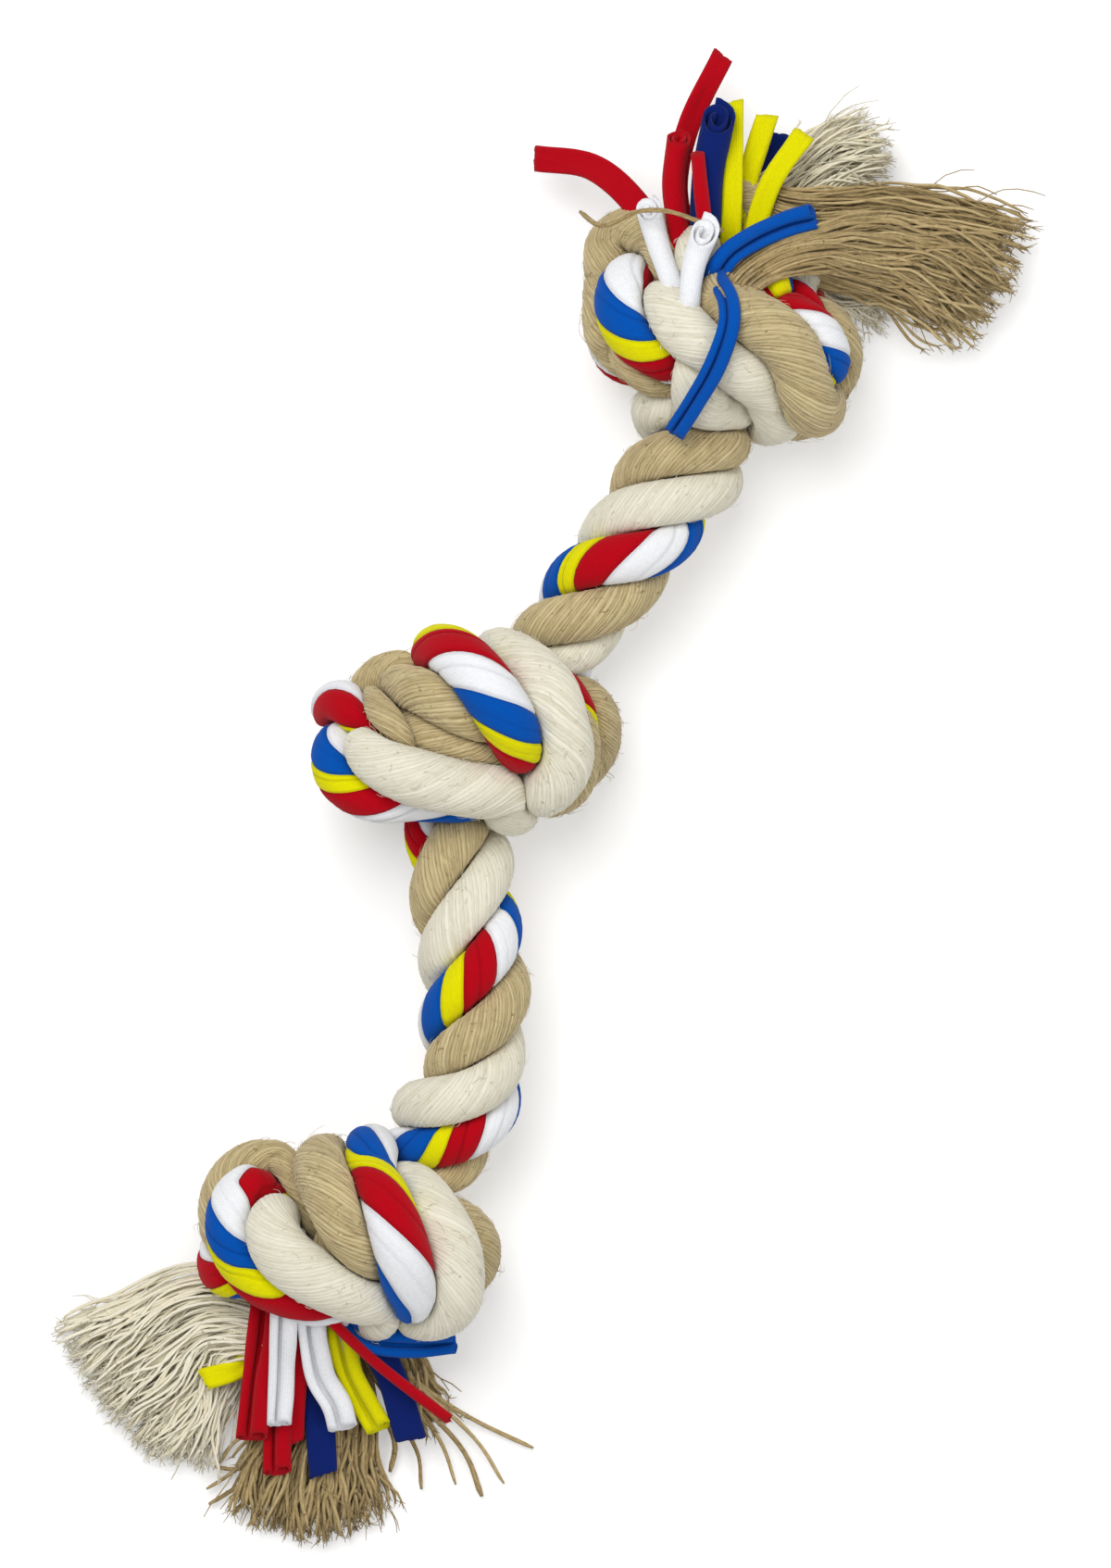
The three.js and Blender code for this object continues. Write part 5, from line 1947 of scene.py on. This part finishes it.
@dataclass
class JerseyFinish:
    """Jersey in one colour, or striped for the twisted strand with painted shade in its hollows."""

    groups: SharedGroups
    made: dict[str, Material] = field(default_factory=dict)
    shading: Pair = (0.22, 0.86)
    loop_shading: Pair = (0.16, 0.88)
    groove_shade_share: float = 0.55
    groove_shade_tint: tuple[float, float, float, float] = (0.25, 0.25, 0.3, 1.0)
    bump: float = 0.35
    bump_height: float = 0.0003

    def plain(self, colour: Colour) -> Material:
        """Jersey of one colour.

        Args:
            colour: The colour.

        Returns:
            Its material.
        """
        name = f"{colour.name.lower()} jersey"
        if name not in self.made:
            self.made[name] = self._material(name, colour, 1.0)
        return self.made[name]

    def striped(self) -> Material:
        """Jersey strips side by side round the cloth strand."""
        girth = SIZES.strand * math.pi
        return self._material("striped jersey", None, girth)

    def _material(self, name: str, colour: Colour | None, across: float) -> Material:
        """Build a jersey material.

        Args:
            name: Its name.
            colour: Its colour, or none for the stripes.
            across: Millimetres to one unit across the map.

        Returns:
            The new material.
        """
        material, book, shader = new_material(name)
        book.fill(shader, {"Roughness": 0.95, "Specular IOR Level": 0.08,
                           "Sheen Weight": 0.06, "Sheen Roughness": 0.5})
        knit = book.node("ShaderNodeGroup", node_tree=self.groups.stitches)
        book.fill(knit, {"Across": across})
        base = linear(colour.value) if colour else self._stripes(book)
        shade = book.math("MULTIPLY_ADD", knit.outputs["Shade"], *self.shading)
        loops = book.math("MULTIPLY_ADD", knit.outputs["Height"], *self.loop_shading)
        value = book.math("MULTIPLY", shade, loops)
        grey = book.node("ShaderNodeCombineColor")
        for socket in grey.inputs[:3]:
            book.link(value, socket)
        colour_out = book.mix(1.0, base, grey.outputs[0], "MULTIPLY")
        if not colour:
            # Painted shade: the stripes darken, a little bluish, where the crown is low between strips
            # and in creases
            crown = book.node("ShaderNodeAttribute", attribute_name=CROWN)
            low = book.math("SUBTRACT", 1.0, crown.outputs["Fac"])
            low = book.math("MULTIPLY", low, self.groove_shade_share)
            groove_shaded = book.mix(1.0, colour_out, self.groove_shade_tint, "MULTIPLY")
            colour_out = book.mix(low, colour_out, groove_shaded)
        bump = book.node("ShaderNodeBump", {
            "Strength": self.bump, "Distance": self.bump_height, "Height": knit.outputs["Height"]})
        book.fill(shader, {"Base Color": colour_out, "Normal": bump.outputs[0]})
        return material

    def _stripes(self, book: NodeBook) -> NodeSocket:
        """Give the strips their colours by their place round the strand.

        Args:
            book: The material's tree.

        Returns:
            The colour.
        """
        parts = book.lay()
        ramp = book.node("ShaderNodeValToRGB")
        ramp.color_ramp.interpolation = "CONSTANT"
        edge = 0.0
        for number, (colour, share) in enumerate(STRIPE_SHARES):
            if number < 2:
                stop = ramp.color_ramp.elements[number]
                stop.position = edge
            else:
                stop = ramp.color_ramp.elements.new(edge)
            stop.color = linear(colour.value)
            edge += share
        book.link(parts[1], ramp.inputs["Fac"])
        return ramp.outputs["Color"]


@dataclass(frozen=True)
class Studio:
    """The camera, the lights and the pale floor."""

    picture: tuple[int, int] = (1200, 1693)
    pixels_per_mm: float = 3.0
    origin_pixel: Pair = (500.0, 800.0)
    height: float = 4.0
    focus_height: float = 0.045
    sensor: float = 36.0
    far: float = 50.0
    lamps: tuple[tuple[str, Place, float, float], ...] = (
        ("broad lamp", (-0.5, 0.9, 2.4), 1.8, 46.0),
        ("side lamp", (1.6, -0.8, 1.8), 1.4, 12.0),
    )
    sky: float = 0.45
    sky_seen: float = 0.55
    floor_half: float = 12.0
    floor_drop: float = 0.0002
    floor_tone: float = 0.8
    floor_glow: float = 0.32

    def camera(self) -> None:
        """Place the camera straight above, at the photograph's scale."""
        data = bpy.data.cameras.new("camera")
        data.sensor_fit = "VERTICAL"
        data.sensor_height = self.sensor
        tall = self.picture[1] / self.pixels_per_mm * MM
        data.lens = self.sensor * (self.height - self.focus_height) / tall
        data.clip_end = self.far
        camera = linked("camera", data)
        x = (self.picture[0] / 2 - self.origin_pixel[0]) / self.pixels_per_mm * MM
        y = (self.origin_pixel[1] - self.picture[1] / 2) / self.pixels_per_mm * MM
        camera.location = (x, y, self.height)
        bpy.context.scene.camera = camera

    def lights(self) -> None:
        """One broad lamp overhead, a weaker one from the side, and an even sky."""
        for name, place, size, power in self.lamps:
            data = bpy.data.lights.new(name, "AREA")
            data.shape = "DISK"
            data.size = size
            data.energy = power
            lamp = linked(name, data)
            lamp.location = place
            aim = -np.array(place)
            tilt = math.acos(-aim[2] / norm(aim))
            lamp.rotation_euler = (tilt, 0.0, math.atan2(aim[0], -aim[1]) + math.pi)
        world = bpy.data.worlds.new("sky")
        bpy.context.scene.world = world
        world.use_nodes = True
        book = NodeBook(world.node_tree)
        strength = book.math("MULTIPLY_ADD", self._seen(book), self.sky_seen, self.sky)
        book.fill(world.node_tree.nodes["Background"], {"Strength": strength, "Color": WHITE})

    def _seen(self, book: NodeBook) -> NodeSocket:
        """Tell what the camera sees, directly, mirrored or through glass.

        Args:
            book: The tree.

        Returns:
            A socket that is one there and zero for other light.
        """
        path = book.node("ShaderNodeLightPath")
        both = book.math("MAXIMUM", path.outputs["Is Camera Ray"], path.outputs["Is Glossy Ray"])
        return book.math("MAXIMUM", both, path.outputs["Is Transmission Ray"])

    def floor(self) -> None:
        """A wide white floor that keeps the toy's shadow."""
        grid = bmesh.new()
        bmesh.ops.create_grid(grid, x_segments=2, y_segments=2, size=self.floor_half)
        mesh = bpy.data.meshes.new("floor")
        grid.to_mesh(mesh)
        grid.free()
        floor = linked("floor", mesh)
        floor.location.z = -self.floor_drop
        material, book, shader = new_material("white floor")
        tone = self.floor_tone
        glow = book.math("MULTIPLY", self._seen(book), self.floor_glow)
        book.fill(shader, {"Base Color": (tone, tone, tone, 1.0), "Roughness": 1.0,
                           "Specular IOR Level": 0.0, "Emission Color": WHITE,
                           "Emission Strength": glow})
        mesh.materials.append(material)


@dataclass
class TugToy:
    """The whole toy: strands, strips and tails, dressed and joined to the CAD model."""

    rope: Rope = field(default_factory=Rope)
    groups: SharedGroups = field(default_factory=SharedGroups)

    def __post_init__(self) -> None:
        """Build the finishes."""
        self.jersey = JerseyFinish(self.groups)
        self.tail_objects: dict[str, Object] = {}

    def build(self) -> None:
        """Build every piece."""
        for tail in TAILS:
            self._tail(tail)
        self._strands()
        for end, strips in STRIPS.items():
            for number, strip in enumerate(strips):
                self._strip(end, number, strip)

    def _tail(self, tail: FrayedTail) -> None:
        """Build one frayed tail and join it to the model.

        Args:
            tail: The tail.
        """
        order = list(Strand).index(tail.strand)
        root = self.rope.lines[order][0 if tail.at_start else -1]
        radii = np.concatenate([self.rope.radii(number) for number in range(len(Strand))])
        obj = tail.build(root, (np.vstack(self.rope.lines), radii))
        obj.data.materials.append(TAIL_FINISHES[tail.strand].material(self.groups))
        end = "upper" if tail.at_start else "lower"
        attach(obj, f"{end}_end")
        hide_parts(f"{end}_{tail.strand.value}_tail")
        self.tail_objects[tail.name] = obj
        LOG.info("%s: %d faces", obj.name, len(obj.data.polygons))

    def _strands(self) -> None:
        surfaces = [StrandSurface(order, strand, self.rope) for order, strand in enumerate(Strand)]
        clouds = []
        for surface in surfaces:
            points = surface.line()
            coarse = np.linspace(0.0, 1.0, len(self.rope.points))
            shares = np.linspace(0.0, 1.0, len(points))
            radius = np.interp(shares, coarse, self.rope.radii(surface.order))
            clouds.append((points, radius))
        cuts = self.rope.cuts()
        lead = round(self.rope.sizes.flex_lead / self.rope.sizes.step)
        bends = [(self.rope.points[cuts[1] - lead], self.rope.points[cuts[2]]),
                 (self.rope.points[cuts[3]], self.rope.points[cuts[4] + lead])]
        striped = self.jersey.striped()
        for surface in surfaces:
            surface.prepare(clouds)
            total = len(surface.points) - 1
            last = len(self.rope.points) - 1
            splits = [0, round(cuts[2] / last * total), round(cuts[3] / last * total), total]
            name = surface.strand.value
            material = striped
            if surface.strand is not Strand.CLOTH:
                material = YARN_FINISHES[surface.strand].material(self.groups)
            for length, (first, stop) in zip(("upper", "middle", "lower"), zip(splits, splits[1:])):
                obj, path = surface.build(f"{name}_lay_{length}", first, stop + 1)
                obj.data.materials.append(material)
                self._join_strand(obj, path, name, length, bends)
                LOG.info("%s: %d faces", obj.name, len(obj.data.polygons))

    def _join_strand(self, obj: Object, path: Array, name: str, length: str,
                     bends: list[tuple[Array, Array]]) -> None:
        """Args:
            obj: The length.
            path: Its middle line.
            name: The strand's name.
            length: Which length it is.
            bends: Ends of the two bends.
        """
        if length == "middle":
            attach(obj, "middle")
            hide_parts(f"{name}_strand_middle")
            leaving, far_end = path[0], "object"
        elif length == "upper":
            start, end = bends[0]
            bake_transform(obj)
            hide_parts(f"{name}_strand_upper", f"{name}_strand_upper_bend")
            leaving, far_end = path[-1], "bare"
        else:
            start, end = bends[1]
            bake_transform(obj)
            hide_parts(f"{name}_strand_lower_bend", f"{name}_strand_lower")
            leaving, far_end = path[0], "bare"
        run = float(norm(np.diff(path, axis=0), axis=1).sum())
        tuple(leaving)
        [tuple(p) for p in path]

    def _strip(self, end: str, number: int, values: tuple) -> None:
        """Build one strip of jersey and join it to the model.

        Args:
            end: Which tassel it is in.
            number: Its number there.
            values: Its row of the table.
        """
        name, colour, width, section, tilt, route = values
        lift = TIP_LIFTS.get(name, 0.0) if end == "upper" else 0.0
        seed = STRIP_SEEDS[end] + number
        strip = JerseyStrip(end, name, colour, width, section, tilt, route, tip_lift=lift, seed=seed)
        obj = strip.build()
        obj.data.materials.append(self.jersey.plain(colour))
        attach(obj, f"{end}_end")
        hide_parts(f"{end}_{name}_strip")
        "blue" if colour is Colour.NAVY else colour.name.lower()
        LOG.info("%s: %d faces", obj.name, len(obj.data.polygons))


def main() -> None:
    """Build the scene."""
    logging.basicConfig(level=logging.INFO, format="%(message)s")
    bpy.context.scene.view_settings.view_transform = "Standard"
    studio = Studio()
    studio.camera()
    TugToy().build()
    studio.lights()
    studio.floor()


if __name__ == "__main__":
    main()
